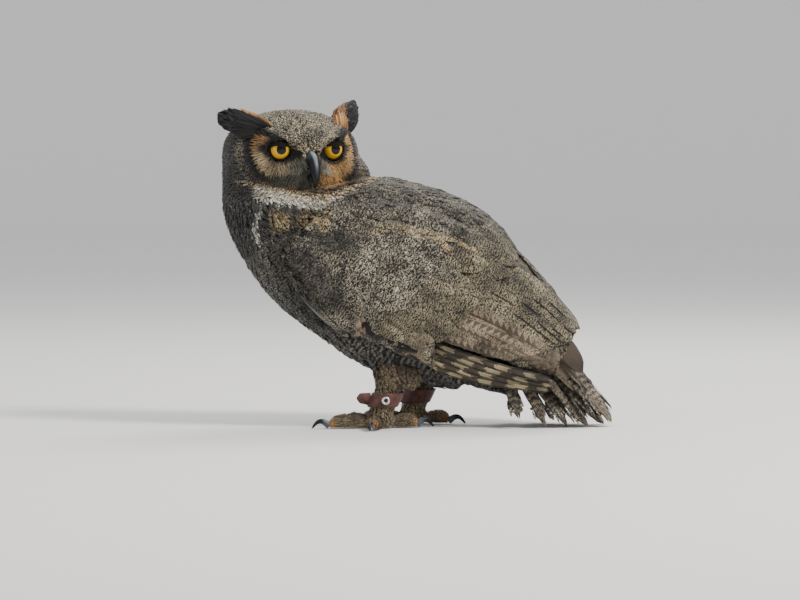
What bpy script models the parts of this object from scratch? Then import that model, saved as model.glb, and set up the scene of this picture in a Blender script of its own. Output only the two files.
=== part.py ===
# Great horned owl, life size, standing with its head turned over its left shoulder.
# The bird faces -X, its left side is towards -Y, and its feet stand on z = 0.
# Metres, +Z up. The origin is under the middle of the whole bird's box.

import math

import bmesh
import bpy
from mathutils import Vector

# ---------------------------------------------------------------- driving sizes
GAP = 0.0003             # between pieces that meet
BED_GAP = 0.0018         # between the wing and the body that it lies on
FLOOR = 0.0

# Side outline of neck and trunk: front line and back line, paired station by station
# from the collar (station 0) to the wing tips (station 7), as (x, z).
FRONT_LINE = [(-0.229, 0.262), (-0.216, 0.220), (-0.173, 0.155), (-0.113, 0.106),
              (-0.050, 0.067), (0.016, 0.048), (0.085, 0.043), (0.150, 0.036)]
BACK_LINE = [(-0.050, 0.292), (-0.042, 0.2935), (-0.016, 0.288), (0.036, 0.2735),
             (0.085, 0.246), (0.1215, 0.2065), (0.158, 0.165), (0.188, 0.120)]
HALF_WIDTH = [0.080, 0.082, 0.087, 0.091, 0.088, 0.078, 0.063, 0.046]
SECTION_POWER = 2.25     # squareness of the trunk's cross-sections
WING_BED = 0.012         # how far the trunk lies in under the folded wing
MIDLINE_ANGLE = 0.008    # half the gap between the two wings, along the back

HEAD_AXIS = (-0.1466, 0.0)
HEAD_YAW = math.radians(21)       # how far the face turns past the bird's left
HEAD_TOP = 0.373
HEAD_MIDDLE = 0.320
HEAD_BASE = 0.277
HEAD_TILT = 0.17                  # slope of the collar, head to neck
HEAD_SIDE = 0.0818
NAPE_FLARE = 0.015                # how far the nape feathers stand out over the back
HEAD_FRONT = 0.072
HEAD_BACK = 0.080
FACE_POWER = 1.6                  # squareness of the head's plan, before and behind
NAPE_POWER = 2.0
CROWN_POWERS = (2.15, 1.7, 2.2)   # roundness of the crown at its sides, front and back
CHIN_TUCK = 0.006                 # how far the chin falls back below the bill
HEAD_SEGMENTS = 30
EYE_RADIUS = 0.0135
EYE_SIDE = 0.0325
EYE_FORWARD = 0.0460
EYE_HEIGHT = 0.3275
ORBIT_RADIUS = 0.030              # of the dish in the face round each eye
ORBIT_DROP = 0.008                # of the dish's middle below the eye's
BROW_START = 0.320                # height of the brow ridge at the bill
BROW_RISE = 0.035                 # and how much higher it is at the ear tuft
BROW_LENGTH = 0.060
BROW_THICK = 0.009
BROW_INNER = 0.020                # distance from the midline at which it is full
BROW_FADE = (0.25, 0.65)          # how far forward the face is where it begins, and is full
BROW_REACH = 0.0105               # how far the ridge hangs out over the eyes

BILL_POINT = 0.0015               # length of the last point of each half
SOCKET_SIDES = (12, 8)            # segments and rings of the eyes
ORBIT_OUT = 0.004                 # of the dish's middle beyond the eye's
ORBIT_AHEAD = 0.006
TUFT_FLAT = 0.50                  # thickness of an ear tuft for its width
TUFT_SEAT_FLAT = 0.53

TRUNK_SEGMENTS = 26
COLLAR_END = 1.2                  # station at which the collar's shape has passed over
NECK_STATIONS = (0.0, 1.30)
BREAST_STATIONS = (1.32, 3.20)
BELLY_STATIONS = (3.21, 5.45)
CUTTER_STATIONS = (1.4, 5.5)
CUTTER_LIFT = 0.0012

HAND_VANES = 5                    # long feathers to be seen in each folded hand
HAND_ROOTS = (Vector((0.0235, -0.058, 0.0690)), Vector((0.0235, -0.066, 0.1030)))
HAND_TIPS = (Vector((0.168, -0.047, 0.0460)), Vector((0.160, -0.0500, 0.0600)))
HAND_BOW = 0.006
HAND_STAIR = 0.0011               # from each feather to the next
HAND_TOP = (0.0022, 0.0012)       # height above the middle sheet at the root, and its fall
HAND_UNDER = (-0.0012, -0.0006)

TAIL_ROOT = Vector((0.110, 0.0, 0.138))
RECTRICES_A_SIDE = 6
TAIL_LOWEST = 0.6                 # which feather hangs lowest, as a share from the middle
TAIL_RISE = 0.046                 # of the tips on both sides of it
TAIL_END = 0.2275
TAIL_STEP = 0.108                 # from the middle feather's tip back to the outer one's
TAIL_TIP_SPREAD = (0.0185, 0.036)
TAIL_ROOT_SPREAD = (0.0070, 0.0150)
TAIL_ROOT_STEP = (-0.020, -0.037)
TAIL_SIDE_STEP = 0.0017           # the right side's feathers lie under the left side's
TAIL_TIP_STEP = 0.0012
TAIL_WIDTH = 0.032
TAIL_ROLL = (12, 5)               # degrees at the middle feather, and added at the outer
TAIL_THICK = 0.0012
TAIL_ARCH = 0.004
TAIL_POINT = 0.006

TOE_RADIUS = 0.0098
TOE_SIDES = 8
TOE_START = 0.0168       # from the middle of the foot to where a toe begins
TOE_SHARES = (0.0, 0.22, 0.45, 0.65, 0.84, 0.95, 1.0)
TOE_TAPER = 0.17
TOE_KNUCKLE = 0.0009
TOE_ROOT_THIN = 0.0034   # thinner where it leaves the pad, and behind the claw
TOE_END_THIN = 0.0038
CLAW_LENGTH = 0.025
CLAW_RADIUS = 0.0046
CLAW_POINT = 0.0006
CLAW_START = 0.0034
CLAW_RISE = 0.0058
CLAW_TIP_HEIGHT = 0.0016
OUTER_CLAW = 0.9         # size of the outer toe's claw
FLAT_CUT = 0.0007        # cut off under each toe, so that it lies on a small flat

ANKLET_SIDES = 16
ANKLET_SECTION = ((0.0167, -0.0065), (0.0183, -0.0065), (0.0192, 0.0065), (0.0176, 0.0065))
ANKLET_LEAN = 0.0024 / 0.0065
ANKLET_END = (Vector((-0.0172, 0.0, 0.0010)), Vector((-0.0170, 0.003, 0.0040)))
ANKLET_END_RADII = [0.0055, 0.0055, 0.0045, 0.002]
ANKLET_END_FLAT = 0.22
EYELET_PLACE = (0.0010, 0.0206)
EYELET_RADIUS = 0.0036
EYELET_RIM = (0.0013, 0.0010)    # half the rim's breadth and depth

# ---------------------------------------------------------------- scene and looks
for old in list(bpy.data.objects):
    bpy.data.objects.remove(old, do_unlink=True)

OWL = bpy.data.collections.new("great_horned_owl")
bpy.context.scene.collection.children.link(OWL)
CUTTERS = bpy.data.collections.new("cutters")
bpy.context.scene.collection.children.link(CUTTERS)

PALETTE = {
    "plumage_dark": ((0.065, 0.050, 0.038), 0.85, 0.0),
    "plumage_buff": ((0.27, 0.20, 0.13), 0.85, 0.0),
    "plumage_barred": ((0.17, 0.12, 0.075), 0.8, 0.0),
    "plumage_face": ((0.42, 0.19, 0.07), 0.85, 0.0),
    "plumage_black": ((0.022, 0.017, 0.014), 0.85, 0.0),
    "iris_yellow": ((0.80, 0.55, 0.02), 0.08, 0.0),
    "horn_slate": ((0.045, 0.05, 0.06), 0.35, 0.0),
    "leather": ((0.20, 0.06, 0.035), 0.6, 0.0),
    "eyelet_metal": ((0.62, 0.66, 0.70), 0.3, 1.0),
}


def new_material(label):
    colour, roughness, metallic = PALETTE[label.split("/")[-1]]
    material = bpy.data.materials.new(label.replace("/", "_"))
    material.use_nodes = True
    shader = material.node_tree.nodes["Principled BSDF"]
    shader.inputs["Base Color"].default_value = (*colour, 1.0)
    shader.inputs["Roughness"].default_value = roughness
    shader.inputs["Metallic"].default_value = metallic
    return material


def add_object(name, mesh, look, collection=OWL):
    item = bpy.data.objects.new(name, mesh)
    if collection is CUTTERS:
        item.hide_render = True
        item.display_type = "WIRE"
    else:
        mesh.materials.append(new_material(f"{name}/{look}"))
    collection.objects.link(item)
    return item


def finish_mesh(name, shape):
    bmesh.ops.recalc_face_normals(shape, faces=shape.faces)
    mesh = bpy.data.meshes.new(name)
    shape.to_mesh(mesh)
    shape.free()
    mesh.shade_smooth()
    mesh.set_sharp_from_angle(angle=math.radians(50))
    return mesh


# ---------------------------------------------------------------- curves and lofts
def smooth(low, high, value):
    step = min(max((value - low) / (high - low), 0.0), 1.0)
    return step * step * (3 - 2 * step)


def along(points, t):
    """A smooth curve through the points; t runs from 0 to len(points) - 1."""
    last = len(points) - 1
    i = min(max(int(math.floor(t)), 0), last - 1)
    u = t - i
    rows = []
    for k in (i - 1, i, i + 1, i + 2):
        point = points[min(max(k, 0), last)]
        rows.append(Vector(point) if hasattr(point, "__len__") else Vector((point, 0.0)))
    before, start, end, after = rows
    slope_a = (end - before) * 0.5
    slope_b = (after - start) * 0.5
    value = (start * (2 * u**3 - 3 * u**2 + 1) + slope_a * (u**3 - 2 * u**2 + u)
             + end * (3 * u**2 - 2 * u**3) + slope_b * (u**3 - u**2))
    return value if hasattr(points[0], "__len__") else value[0]


def loft(name, rings, last_tip=None):
    """A closed skin over rings of equal counts, ended by flat fans or by a tip point."""
    shape = bmesh.new()
    rows = [[shape.verts.new(point) for point in ring] for ring in rings]
    count = len(rings[0])
    for low, high in zip(rows[:-1], rows[1:]):
        for k in range(count):
            n = (k + 1) % count
            shape.faces.new((low[k], low[n], high[n], high[k]))
    for row, tip in ((rows[0], None), (rows[-1], last_tip)):
        middle = tip if tip is not None else sum((v.co for v in row), Vector()) / count
        centre = shape.verts.new(middle)
        for k in range(count):
            shape.faces.new((row[k], row[(k + 1) % count], centre))
    return finish_mesh(name, shape)


def plate(name, top, under, columns, rows):
    """A closed slab between two surfaces, each a function of u and v from 0 to 1."""
    shape = bmesh.new()
    sheets = []
    for surface in (top, under):
        sheets.append([[shape.verts.new(surface(i / columns, j / rows))
                        for j in range(rows + 1)] for i in range(columns + 1)])
    for sheet in sheets:
        for i in range(columns):
            for j in range(rows):
                shape.faces.new((sheet[i][j], sheet[i + 1][j],
                                 sheet[i + 1][j + 1], sheet[i][j + 1]))
    rim = [(i, 0) for i in range(columns)] + [(columns, j) for j in range(rows)]
    rim += [(i, rows) for i in range(columns, 0, -1)] + [(0, j) for j in range(rows, 0, -1)]
    for (a, b), (c, d) in zip(rim, rim[1:] + rim[:1]):
        shape.faces.new((sheets[0][a][b], sheets[0][c][d], sheets[1][c][d], sheets[1][a][b]))
    return finish_mesh(name, shape)


def tube_rings(path, radii, sides=14, flat=1.0, up=Vector((0, 0, 1))):
    """Rings square to a path; flat squeezes them along the path's own up direction."""
    rings = []
    steps = len(path)
    squeeze = flat if hasattr(flat, "__len__") else [flat] * steps
    for k, point in enumerate(path):
        ahead = path[min(k + 1, steps - 1)] - path[max(k - 1, 0)]
        ahead.normalize()
        across = ahead.cross(up).normalized()
        over = across.cross(ahead).normalized()
        ring = []
        for s in range(sides):
            angle = 2 * math.pi * s / sides
            ring.append(point + across * (radii[k] * math.cos(angle))
                        + over * (radii[k] * squeeze[k] * math.sin(angle)))
        rings.append(ring)
    return rings


def levelled(ring, height):
    """The same ring laid level, so that its neighbour can meet it face to face."""
    return [Vector((point.x, point.y, height)) for point in ring]


def cut_at_floor(item):
    """Takes off what is below the floor and leaves a small flat there."""
    shape = bmesh.new()
    shape.from_mesh(item.data)
    whole = shape.verts[:] + shape.edges[:] + shape.faces[:]
    cut = bmesh.ops.bisect_plane(shape, geom=whole, dist=1e-6, plane_co=(0, 0, FLOOR),
                                 plane_no=(0, 0, -1), clear_outer=True)
    edges = [part for part in cut["geom_cut"] if isinstance(part, bmesh.types.BMEdge)]
    if edges:
        bmesh.ops.holes_fill(shape, edges=edges)
    shape.to_mesh(item.data)
    shape.free()


def cut_with(item, cutter, operation="DIFFERENCE"):
    step = item.modifiers.new(f"{operation.lower()}_{cutter.name}", "BOOLEAN")
    step.operation = operation
    step.object = cutter


# ---------------------------------------------------------------- neck and trunk form
def power_curve(share, power):
    return max(1 - abs(share) ** power, 0.0) ** (1 / power)


def outer_form(t, phi, lift=0.0):
    """The feathered outline of neck, trunk and folded wings.

    phi is 0 on the front line, a quarter turn on the bird's left, a half on the back.
    """
    front = along(FRONT_LINE, t)
    back = along(BACK_LINE, t)
    chord = back - front
    half = chord.length / 2 + lift
    chord.normalize()
    middle = (along(FRONT_LINE, t) + along(BACK_LINE, t)) / 2
    width = along(HALF_WIDTH, t) + lift
    power = 2 / SECTION_POWER
    reach = -math.copysign(abs(math.cos(phi)) ** power, math.cos(phi)) * half
    side = -math.copysign(abs(math.sin(phi)) ** power, math.sin(phi)) * width
    return Vector((middle[0] + chord[0] * reach, side, middle[1] + chord[1] * reach))


def locate(x, z):
    """Station and angle of the outer form's left side at a place in the side view."""
    low, high = 0.0, 7.0
    place = Vector((x, z))
    for _ in range(40):
        t = (low + high) / 2
        front = along(FRONT_LINE, t)
        chord = along(BACK_LINE, t) - front
        offset = place - front
        if chord[0] * offset[1] - chord[1] * offset[0] < 0:
            low = t
        else:
            high = t
    half = chord.length / 2
    reach = (offset.dot(chord) / chord.length - half) / half
    reach = min(max(reach, -0.999), 0.999)
    cosine = -math.copysign(abs(reach) ** (SECTION_POWER / 2), reach)
    return t, math.acos(cosine)


def head_reach(height, phi, side, front, back):
    """Distance from the head's axis to its surface in the plan direction phi."""
    plan = Vector((-math.cos(phi), -math.sin(phi)))
    sideways = plan.dot(Vector((math.cos(HEAD_YAW), math.sin(HEAD_YAW))))
    forward = plan.dot(Vector((math.sin(HEAD_YAW), -math.cos(HEAD_YAW))))
    power, depth = (FACE_POWER, front) if forward > 0 else (NAPE_POWER, back)
    reach = ((abs(sideways) / side) ** power + (abs(forward) / depth) ** power) ** (-1 / power)
    out = abs(sideways) * reach
    ridge = BROW_START + BROW_RISE * (out / BROW_LENGTH) ** 0.8
    brow = math.exp(-((height - ridge) / BROW_THICK) ** 2) * smooth(0.0, BROW_INNER, out)
    return reach + BROW_REACH * brow * smooth(*BROW_FADE, forward)


def head_point(height, phi):
    """A point of the head's surface; height runs from the collar to the crown."""
    rise = (height - HEAD_MIDDLE) / (HEAD_TOP - HEAD_MIDDLE)
    if rise > 0:
        side, front, back = (size * power_curve(rise, power) for size, power in
                             zip((HEAD_SIDE, HEAD_FRONT, HEAD_BACK), CROWN_POWERS))
    else:
        drop = (HEAD_MIDDLE - height) / (HEAD_MIDDLE - HEAD_BASE)
        side = HEAD_SIDE
        front = HEAD_FRONT - CHIN_TUCK * smooth(0.3, 1.0, drop)
        back = HEAD_BACK
    reach = head_reach(height, phi, side, front, back)
    reach += NAPE_FLARE * smooth(0.326, 0.288, height) * max(-math.cos(phi), 0.0) ** 3
    x = HEAD_AXIS[0] - reach * math.cos(phi)
    y = HEAD_AXIS[1] - reach * math.sin(phi)
    tilt = HEAD_TILT * smooth(HEAD_MIDDLE, HEAD_BASE, height)
    return Vector((x, y, height + tilt * (x - HEAD_AXIS[0])))


def head_place(sideways, forward, height):
    """A place given in the head's own directions: to its left, forward and up."""
    cosine, sine = math.cos(HEAD_YAW), math.sin(HEAD_YAW)
    return Vector((HEAD_AXIS[0] + sideways * cosine + forward * sine,
                   HEAD_AXIS[1] + sideways * sine - forward * cosine, height))


# Lower edge of the folded wing in the side view, from shoulder to wing tip.
WING_EDGE = [(-0.160, 0.203), (-0.138, 0.160), (-0.098, 0.119), (-0.062, 0.105),
             (-0.020, 0.086), (0.022, 0.068), (0.090, 0.058), (0.165, 0.050)]
EDGE_PLACES = [locate(*along(WING_EDGE, k / 4)) for k in range(4 * (len(WING_EDGE) - 1) + 1)]


def edge_angle(t):
    """Angle of the wing's lower edge at a station."""
    for (t0, phi0), (t1, phi1) in zip(EDGE_PLACES[:-1], EDGE_PLACES[1:]):
        if t0 <= t <= t1:
            return phi0 + (phi1 - phi0) * (t - t0) / (t1 - t0)
    return EDGE_PLACES[0][1] if t < EDGE_PLACES[0][0] else EDGE_PLACES[-1][1]


def bed_lift(t, phi):
    """How far the trunk's surface lies under the outer form, as a negative lift."""
    turned = phi if phi <= math.pi else 2 * math.pi - phi
    start = edge_angle(t)
    cover = smooth(start - 0.25, start + 0.30, turned) * smooth(0.7, 1.5, t)
    return -WING_BED * cover


def trunk_point(t, phi, lift=0.0):
    point = outer_form(t, phi, bed_lift(t, phi) + lift)
    if t < COLLAR_END:
        collar = head_point(HEAD_BASE, phi)
        point = collar.lerp(point, smooth(0.0, COLLAR_END, t))
        point.z -= GAP
    return point


def trunk_piece(name, start, end, steps, look, lift=0.0, collection=OWL):
    rings = []
    for k in range(steps + 1):
        t = start + (end - start) * k / steps
        angles = [2 * math.pi * s / TRUNK_SEGMENTS for s in range(TRUNK_SEGMENTS)]
        rings.append([trunk_point(t, phi, lift) for phi in angles])
    return add_object(name, loft(name, rings), look, collection)


def build_trunk():
    trunk_piece("neck", *NECK_STATIONS, 5, "plumage_dark")
    trunk_piece("breast", *BREAST_STATIONS, 6, "plumage_dark")
    trunk_piece("belly", *BELLY_STATIONS, 7, "plumage_buff")
    return trunk_piece("trunk_cutter", *CUTTER_STATIONS, 12, "", CUTTER_LIFT, CUTTERS)


# ---------------------------------------------------------------- head
def build_head():
    heights = [HEAD_BASE, 0.290, 0.304, 0.318, 0.328, 0.336, 0.342, 0.348, 0.354, 0.361,
               0.367, 0.3715]
    angles = [2 * math.pi * s / HEAD_SEGMENTS for s in range(HEAD_SEGMENTS)]
    rings = [[head_point(height, phi) for phi in angles] for height in heights]
    crown = Vector((*HEAD_AXIS, HEAD_TOP))
    head = add_object("head", loft("head", rings, last_tip=crown), "plumage_face")
    for side, label in ((1, "left"), (-1, "right")):
        centre = head_place(side * EYE_SIDE, EYE_FORWARD, EYE_HEIGHT)
        ball(f"eye_{label}", centre, EYE_RADIUS, *SOCKET_SIDES, "iris_yellow", OWL)
        socket = ball(f"socket_{label}", centre, EYE_RADIUS + GAP, *SOCKET_SIDES, "", CUTTERS)
        orbit_centre = head_place(side * (EYE_SIDE + ORBIT_OUT),
                                  EYE_FORWARD + ORBIT_RADIUS + ORBIT_AHEAD,
                                  EYE_HEIGHT - ORBIT_DROP)
        orbit = ball(f"orbit_{label}", orbit_centre, ORBIT_RADIUS, 14, 8, "", CUTTERS)
        cut_with(head, socket)
        cut_with(head, orbit)
    return head


def ball(name, centre, radius, segments, rings, look, collection):
    shape = bmesh.new()
    bmesh.ops.create_uvsphere(shape, u_segments=segments, v_segments=rings, radius=radius)
    bmesh.ops.translate(shape, verts=shape.verts, vec=centre)
    return add_object(name, finish_mesh(name, shape), look, collection)


def bill_mesh(name, forward, heights, wide, deep, grow=0.0, sides=10):
    """A bill half: rings across its own midline, ending in a point."""
    rings = []
    for k in range(len(forward)):
        a = max(k - 1, 0)
        b = min(k + 1, len(forward) - 1)
        run = Vector((forward[b] - forward[a], heights[b] - heights[a])).normalized()
        over = Vector((-run[1], run[0]))
        ring = []
        for s in range(sides):
            angle = 2 * math.pi * s / sides
            out = (deep[k] + grow) * math.sin(angle)
            ring.append(head_place((wide[k] + grow) * math.cos(angle),
                                   forward[k] + over[0] * out, heights[k] + over[1] * out))
        rings.append(ring)
    run_end = Vector((forward[-1] - forward[-2], heights[-1] - heights[-2])).normalized()
    point = BILL_POINT + grow
    tip = head_place(0.0, forward[-1] + run_end[0] * point, heights[-1] + run_end[1] * point)
    return loft(name, rings, last_tip=tip)


def build_bill(head):
    upper = dict(forward=[0.052, 0.064, 0.0735, 0.0800, 0.0828, 0.0820, 0.0785],
                 heights=[0.318, 0.318, 0.3145, 0.3070, 0.2970, 0.2885, 0.2825],
                 wide=[0.0062, 0.0070, 0.0069, 0.0062, 0.0050, 0.0035, 0.0018],
                 deep=[0.0080, 0.0082, 0.0079, 0.0070, 0.0056, 0.0040, 0.0020])
    lower = dict(forward=[0.052, 0.062, 0.0700, 0.0745],
                 heights=[0.3010, 0.2980, 0.2940, 0.2900],
                 wide=[0.0054, 0.0053, 0.0044, 0.0026],
                 deep=[0.0040, 0.0038, 0.0031, 0.0018])
    for name, sizes in (("bill_upper", upper), ("bill_lower", lower)):
        add_object(name, bill_mesh(name, **sizes), "horn_slate")
        cutter = add_object(f"{name}_seat", bill_mesh(f"{name}_seat", grow=GAP, **sizes),
                            "", CUTTERS)
        cut_with(head, cutter)


def build_ear_tufts(head):
    """Two plumes of long feathers above the brows; the right one lies swept aside."""
    plumes = {
        "left": ([head_place(0.052, 0.018, 0.3530), head_place(0.061, 0.015, 0.3625),
                  head_place(0.0695, 0.011, 0.3720), head_place(0.0745, 0.007, 0.3790)],
                 [0.0140, 0.0165, 0.0125, 0.0065], head_place(0.0770, 0.004, 0.3850)),
        "right": ([head_place(-0.048, 0.024, 0.3510), head_place(-0.061, 0.023, 0.3560),
                   head_place(-0.074, 0.021, 0.3590), head_place(-0.086, 0.019, 0.3615),
                   head_place(-0.0950, 0.018, 0.3645)],
                  [0.0125, 0.0145, 0.0140, 0.0120, 0.0080], head_place(-0.0990, 0.017, 0.3690)),
    }
    facing = head_place(0, 1, 0) - head_place(0, 0, 0)
    for label, (path, radii, tip) in plumes.items():
        rings = tube_rings(path, radii, 12, TUFT_FLAT, facing)
        add_object(f"ear_tuft_{label}", loft("tuft", rings, last_tip=tip), "plumage_black")
        wider = [radius + GAP for radius in radii]
        rings = tube_rings(path, wider, 12, TUFT_SEAT_FLAT, facing)
        seat = add_object(f"tuft_seat_{label}", loft("tuft_seat", rings, last_tip=tip), "",
                          CUTTERS)
        cut_with(head, seat)


# ---------------------------------------------------------------- folded wings
def mirror_y(point, side):
    return Vector((point.x, point.y if side == "left" else -point.y, point.z))


def rounding(u, v, width=0.12):
    """1 in the middle of a plate, falling in a round to 0 at its four edges."""
    edge = min(u, 1 - u, v, 1 - v) / width
    return math.sqrt(max(1 - (1 - min(edge, 1.0)) ** 2, 0.0))


def wing_plate(name, side, lines, lift, crown, thin, columns, rows, look):
    """A feather tract over lines of the side view, lying on the trunk's bed.

    The lines run from shoulder to tip, the lowest first. A line of two plain numbers
    is a pair of stations, and runs along the midline of the back.
    """
    def line_place(line, u):
        if len(line) == 2:
            return line[0] + (line[1] - line[0]) * u, math.pi - MIDLINE_ANGLE
        return locate(*along(line, u * (len(line) - 1)))

    def side_place(u, v):
        step = min(int(v * (len(lines) - 1)), len(lines) - 2)
        share = v * (len(lines) - 1) - step
        low, high = line_place(lines[step], u), line_place(lines[step + 1], u)
        return tuple(a + (b - a) * share for a, b in zip(low, high))

    def top(u, v):
        t, phi = side_place(u, v)
        return mirror_y(outer_form(t, phi, lift + crown * rounding(u, v)), side)

    def under(u, v):
        t, phi = side_place(u, v)
        bed = bed_lift(t, phi) + BED_GAP
        return mirror_y(outer_form(t, phi, max(bed, lift - thin)), side)

    return add_object(name, plate(name, top, under, columns, rows), look)


def build_wing(side):
    wing_plate(f"wing_coverts_{side}", side,
               [[(-0.156, 0.2060), (-0.136, 0.1780), (-0.100, 0.1450), (-0.055, 0.1330),
                 (-0.015, 0.1240), (0.024, 0.1120)],
                [(-0.150, 0.2200), (-0.098, 0.2280), (-0.050, 0.2230), (0.000, 0.2090),
                 (0.034, 0.1980), (0.052, 0.1860)]],
               0.000, 0.0035, 0.012, 8, 5, "plumage_dark")
    wing_plate(f"alula_{side}", side,
               [[(-0.157, 0.2010), (-0.135, 0.1600), (-0.096, 0.1210), (-0.068, 0.1080)],
                [(-0.156, 0.2040), (-0.135, 0.1745), (-0.100, 0.1420), (-0.066, 0.1325)]],
               0.000, 0.0030, 0.008, 9, 3, "plumage_buff")
    wing_plate(f"primary_coverts_{side}", side,
               [[(-0.063, 0.1075), (-0.035, 0.0945), (-0.006, 0.0820), (0.020, 0.0720)],
                [(-0.063, 0.1315), (-0.035, 0.1255), (-0.008, 0.1185), (0.020, 0.1080)]],
               -0.0015, 0.0025, 0.005, 8, 3, "plumage_barred")
    wing_plate(f"scapulars_{side}", side,
               [[(-0.144, 0.2240), (-0.098, 0.2310), (-0.050, 0.2260), (0.000, 0.2120),
                 (0.034, 0.2010), (0.054, 0.1890)],
                [(-0.100, 0.2615), (-0.060, 0.2700), (-0.012, 0.2660), (0.040, 0.2500),
                 (0.078, 0.2270), (0.104, 0.2000)]],
               0.000, 0.0030, 0.012, 8, 4, "plumage_dark")
    wing_plate(f"secondaries_{side}", side,
               [[(0.0235, 0.1060), (0.060, 0.0930), (0.100, 0.0790), (0.140, 0.0670),
                 (0.166, 0.0640)],
                [(0.0575, 0.1850), (0.090, 0.1620), (0.120, 0.1360), (0.150, 0.1090),
                 (0.175, 0.0860)],
                [(0.1080, 0.1970), (0.128, 0.1750), (0.148, 0.1500), (0.166, 0.1270),
                 (0.183, 0.1040)],
                (4.88, 6.95)],
               -0.0005, 0.0025, 0.006, 8, 8, "plumage_barred")


def build_mantle():
    """The back between the shoulders, over the midline."""
    line = [(-0.100, 0.2640), (-0.060, 0.2725), (-0.012, 0.2685), (0.040, 0.2525),
            (0.078, 0.2295), (0.107, 0.2005)]

    def place(u, v):
        t, phi = locate(*along(line, u * (len(line) - 1)))
        return t, phi + (2 * math.pi - 2 * phi) * v

    def top(u, v):
        t, phi = place(u, v)
        return outer_form(t, phi, 0.0005 + 0.002 * rounding(u, v))

    def under(u, v):
        t, phi = place(u, v)
        return outer_form(t, phi, bed_lift(t, phi) + 2 * BED_GAP)

    add_object("mantle", plate("mantle", top, under, 8, 8), "plumage_dark")


def build_primaries(side):
    """The folded hand: long feathers whose stepped edges lie one over another."""
    def surface(u, v, lift):
        low, high = (root.lerp(tip, u) for root, tip in zip(HAND_ROOTS, HAND_TIPS))
        point = low.lerp(high, v)
        bow = HAND_BOW * math.sin(math.pi * u)
        stair = HAND_STAIR * (1 - (v * HAND_VANES) % 1.0) if 0 < v < 1 else 0.0
        point.y -= bow + lift[0] - lift[1] * u + stair
        return mirror_y(point, side)

    def top(u, v):
        return surface(u, v, HAND_TOP)

    def under(u, v):
        return surface(u, v, HAND_UNDER)

    name = f"primaries_{side}"
    add_object(name, plate(name, top, under, 6, 2 * HAND_VANES), "plumage_barred")


# ---------------------------------------------------------------- tail
def vane_mesh(name, root, tip, width, roll, thick, arch, steps=8):
    """One long feather: a thin leaf along a bowed path, rolled about its shaft."""
    ahead = (tip - root).normalized()
    flat = ahead.cross(Vector((0, 0, 1))).normalized()
    up = flat.cross(ahead).normalized()
    across = flat * math.cos(roll) + up * math.sin(roll)
    normal = across.cross(ahead).normalized()
    rings = []
    for k in range(steps + 1):
        u = k / steps
        reach = width * (0.22 + 0.78 * smooth(0.0, 0.55, u)) * (1 - 0.42 * smooth(0.86, 1.0, u))
        middle = root.lerp(tip, u) + normal * (arch * math.sin(math.pi * u))
        half = thick * (1 - 0.35 * u) / 2
        rings.append([middle - across * reach / 2, middle - normal * half,
                      middle + across * reach / 2, middle + normal * half])
    return loft(name, rings, last_tip=tip + ahead * TAIL_POINT)


def build_tail():
    """Twelve long feathers in a half-open fan; the lowest tips touch the floor."""
    for index in range(RECTRICES_A_SIDE):
        share = index / (RECTRICES_A_SIDE - 1)
        off = max(share - TAIL_LOWEST, 0.4 * (TAIL_LOWEST - share))
        tip_height = FLOOR + GAP + TAIL_RISE * off**1.15
        for label, side in (("left", -1), ("right", 1)):
            under = side > 0
            back, down = TAIL_ROOT_STEP
            spread = side * (TAIL_ROOT_SPREAD[0] + TAIL_ROOT_SPREAD[1] * share)
            stack = down * share - (TAIL_SIDE_STEP if under else 0.0)
            root = TAIL_ROOT + Vector((back * share, spread, stack))
            spread = side * (TAIL_TIP_SPREAD[0] + TAIL_TIP_SPREAD[1] * share)
            tip = Vector((TAIL_END - TAIL_STEP * share**1.5, spread,
                          tip_height - (TAIL_TIP_STEP if under and index < 3 else 0.0)))
            name = f"tail_feather_{index + 1}_{label}"
            roll = side * math.radians(TAIL_ROLL[0] + TAIL_ROLL[1] * share)
            mesh = vane_mesh(name, root, tip, TAIL_WIDTH, roll, TAIL_THICK, TAIL_ARCH)
            cut_at_floor(add_object(name, mesh, "plumage_barred"))


def build_undertail(trunk_cutter):
    path = [Vector((0.034, 0, 0.070)), Vector((0.054, 0, 0.064)), Vector((0.072, 0, 0.057)),
            Vector((0.088, 0, 0.050)), Vector((0.100, 0, 0.044))]
    radii = [0.028, 0.031, 0.028, 0.021, 0.010]
    rings = tube_rings(path, radii, 16, 0.36)
    tip = Vector((0.107, 0, 0.040))
    item = add_object("undertail_coverts", loft("undertail_coverts", rings, last_tip=tip),
                      "plumage_buff")
    cut_with(item, trunk_cutter)


# ---------------------------------------------------------------- legs and feet
FEET = {"left": Vector((-0.042, -0.042, 0.0)), "right": Vector((-0.004, 0.042, 0.0))}
# Turn of each toe from straight ahead, towards the outside, and its length.
TOES = {"hallux": (-165, 0.027), "inner": (-36, 0.034), "middle": (12, 0.044),
        "outer": (80, 0.036)}
KNEE_HEIGHT = 0.046
ANKLE_HEIGHT = 0.0210


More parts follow.
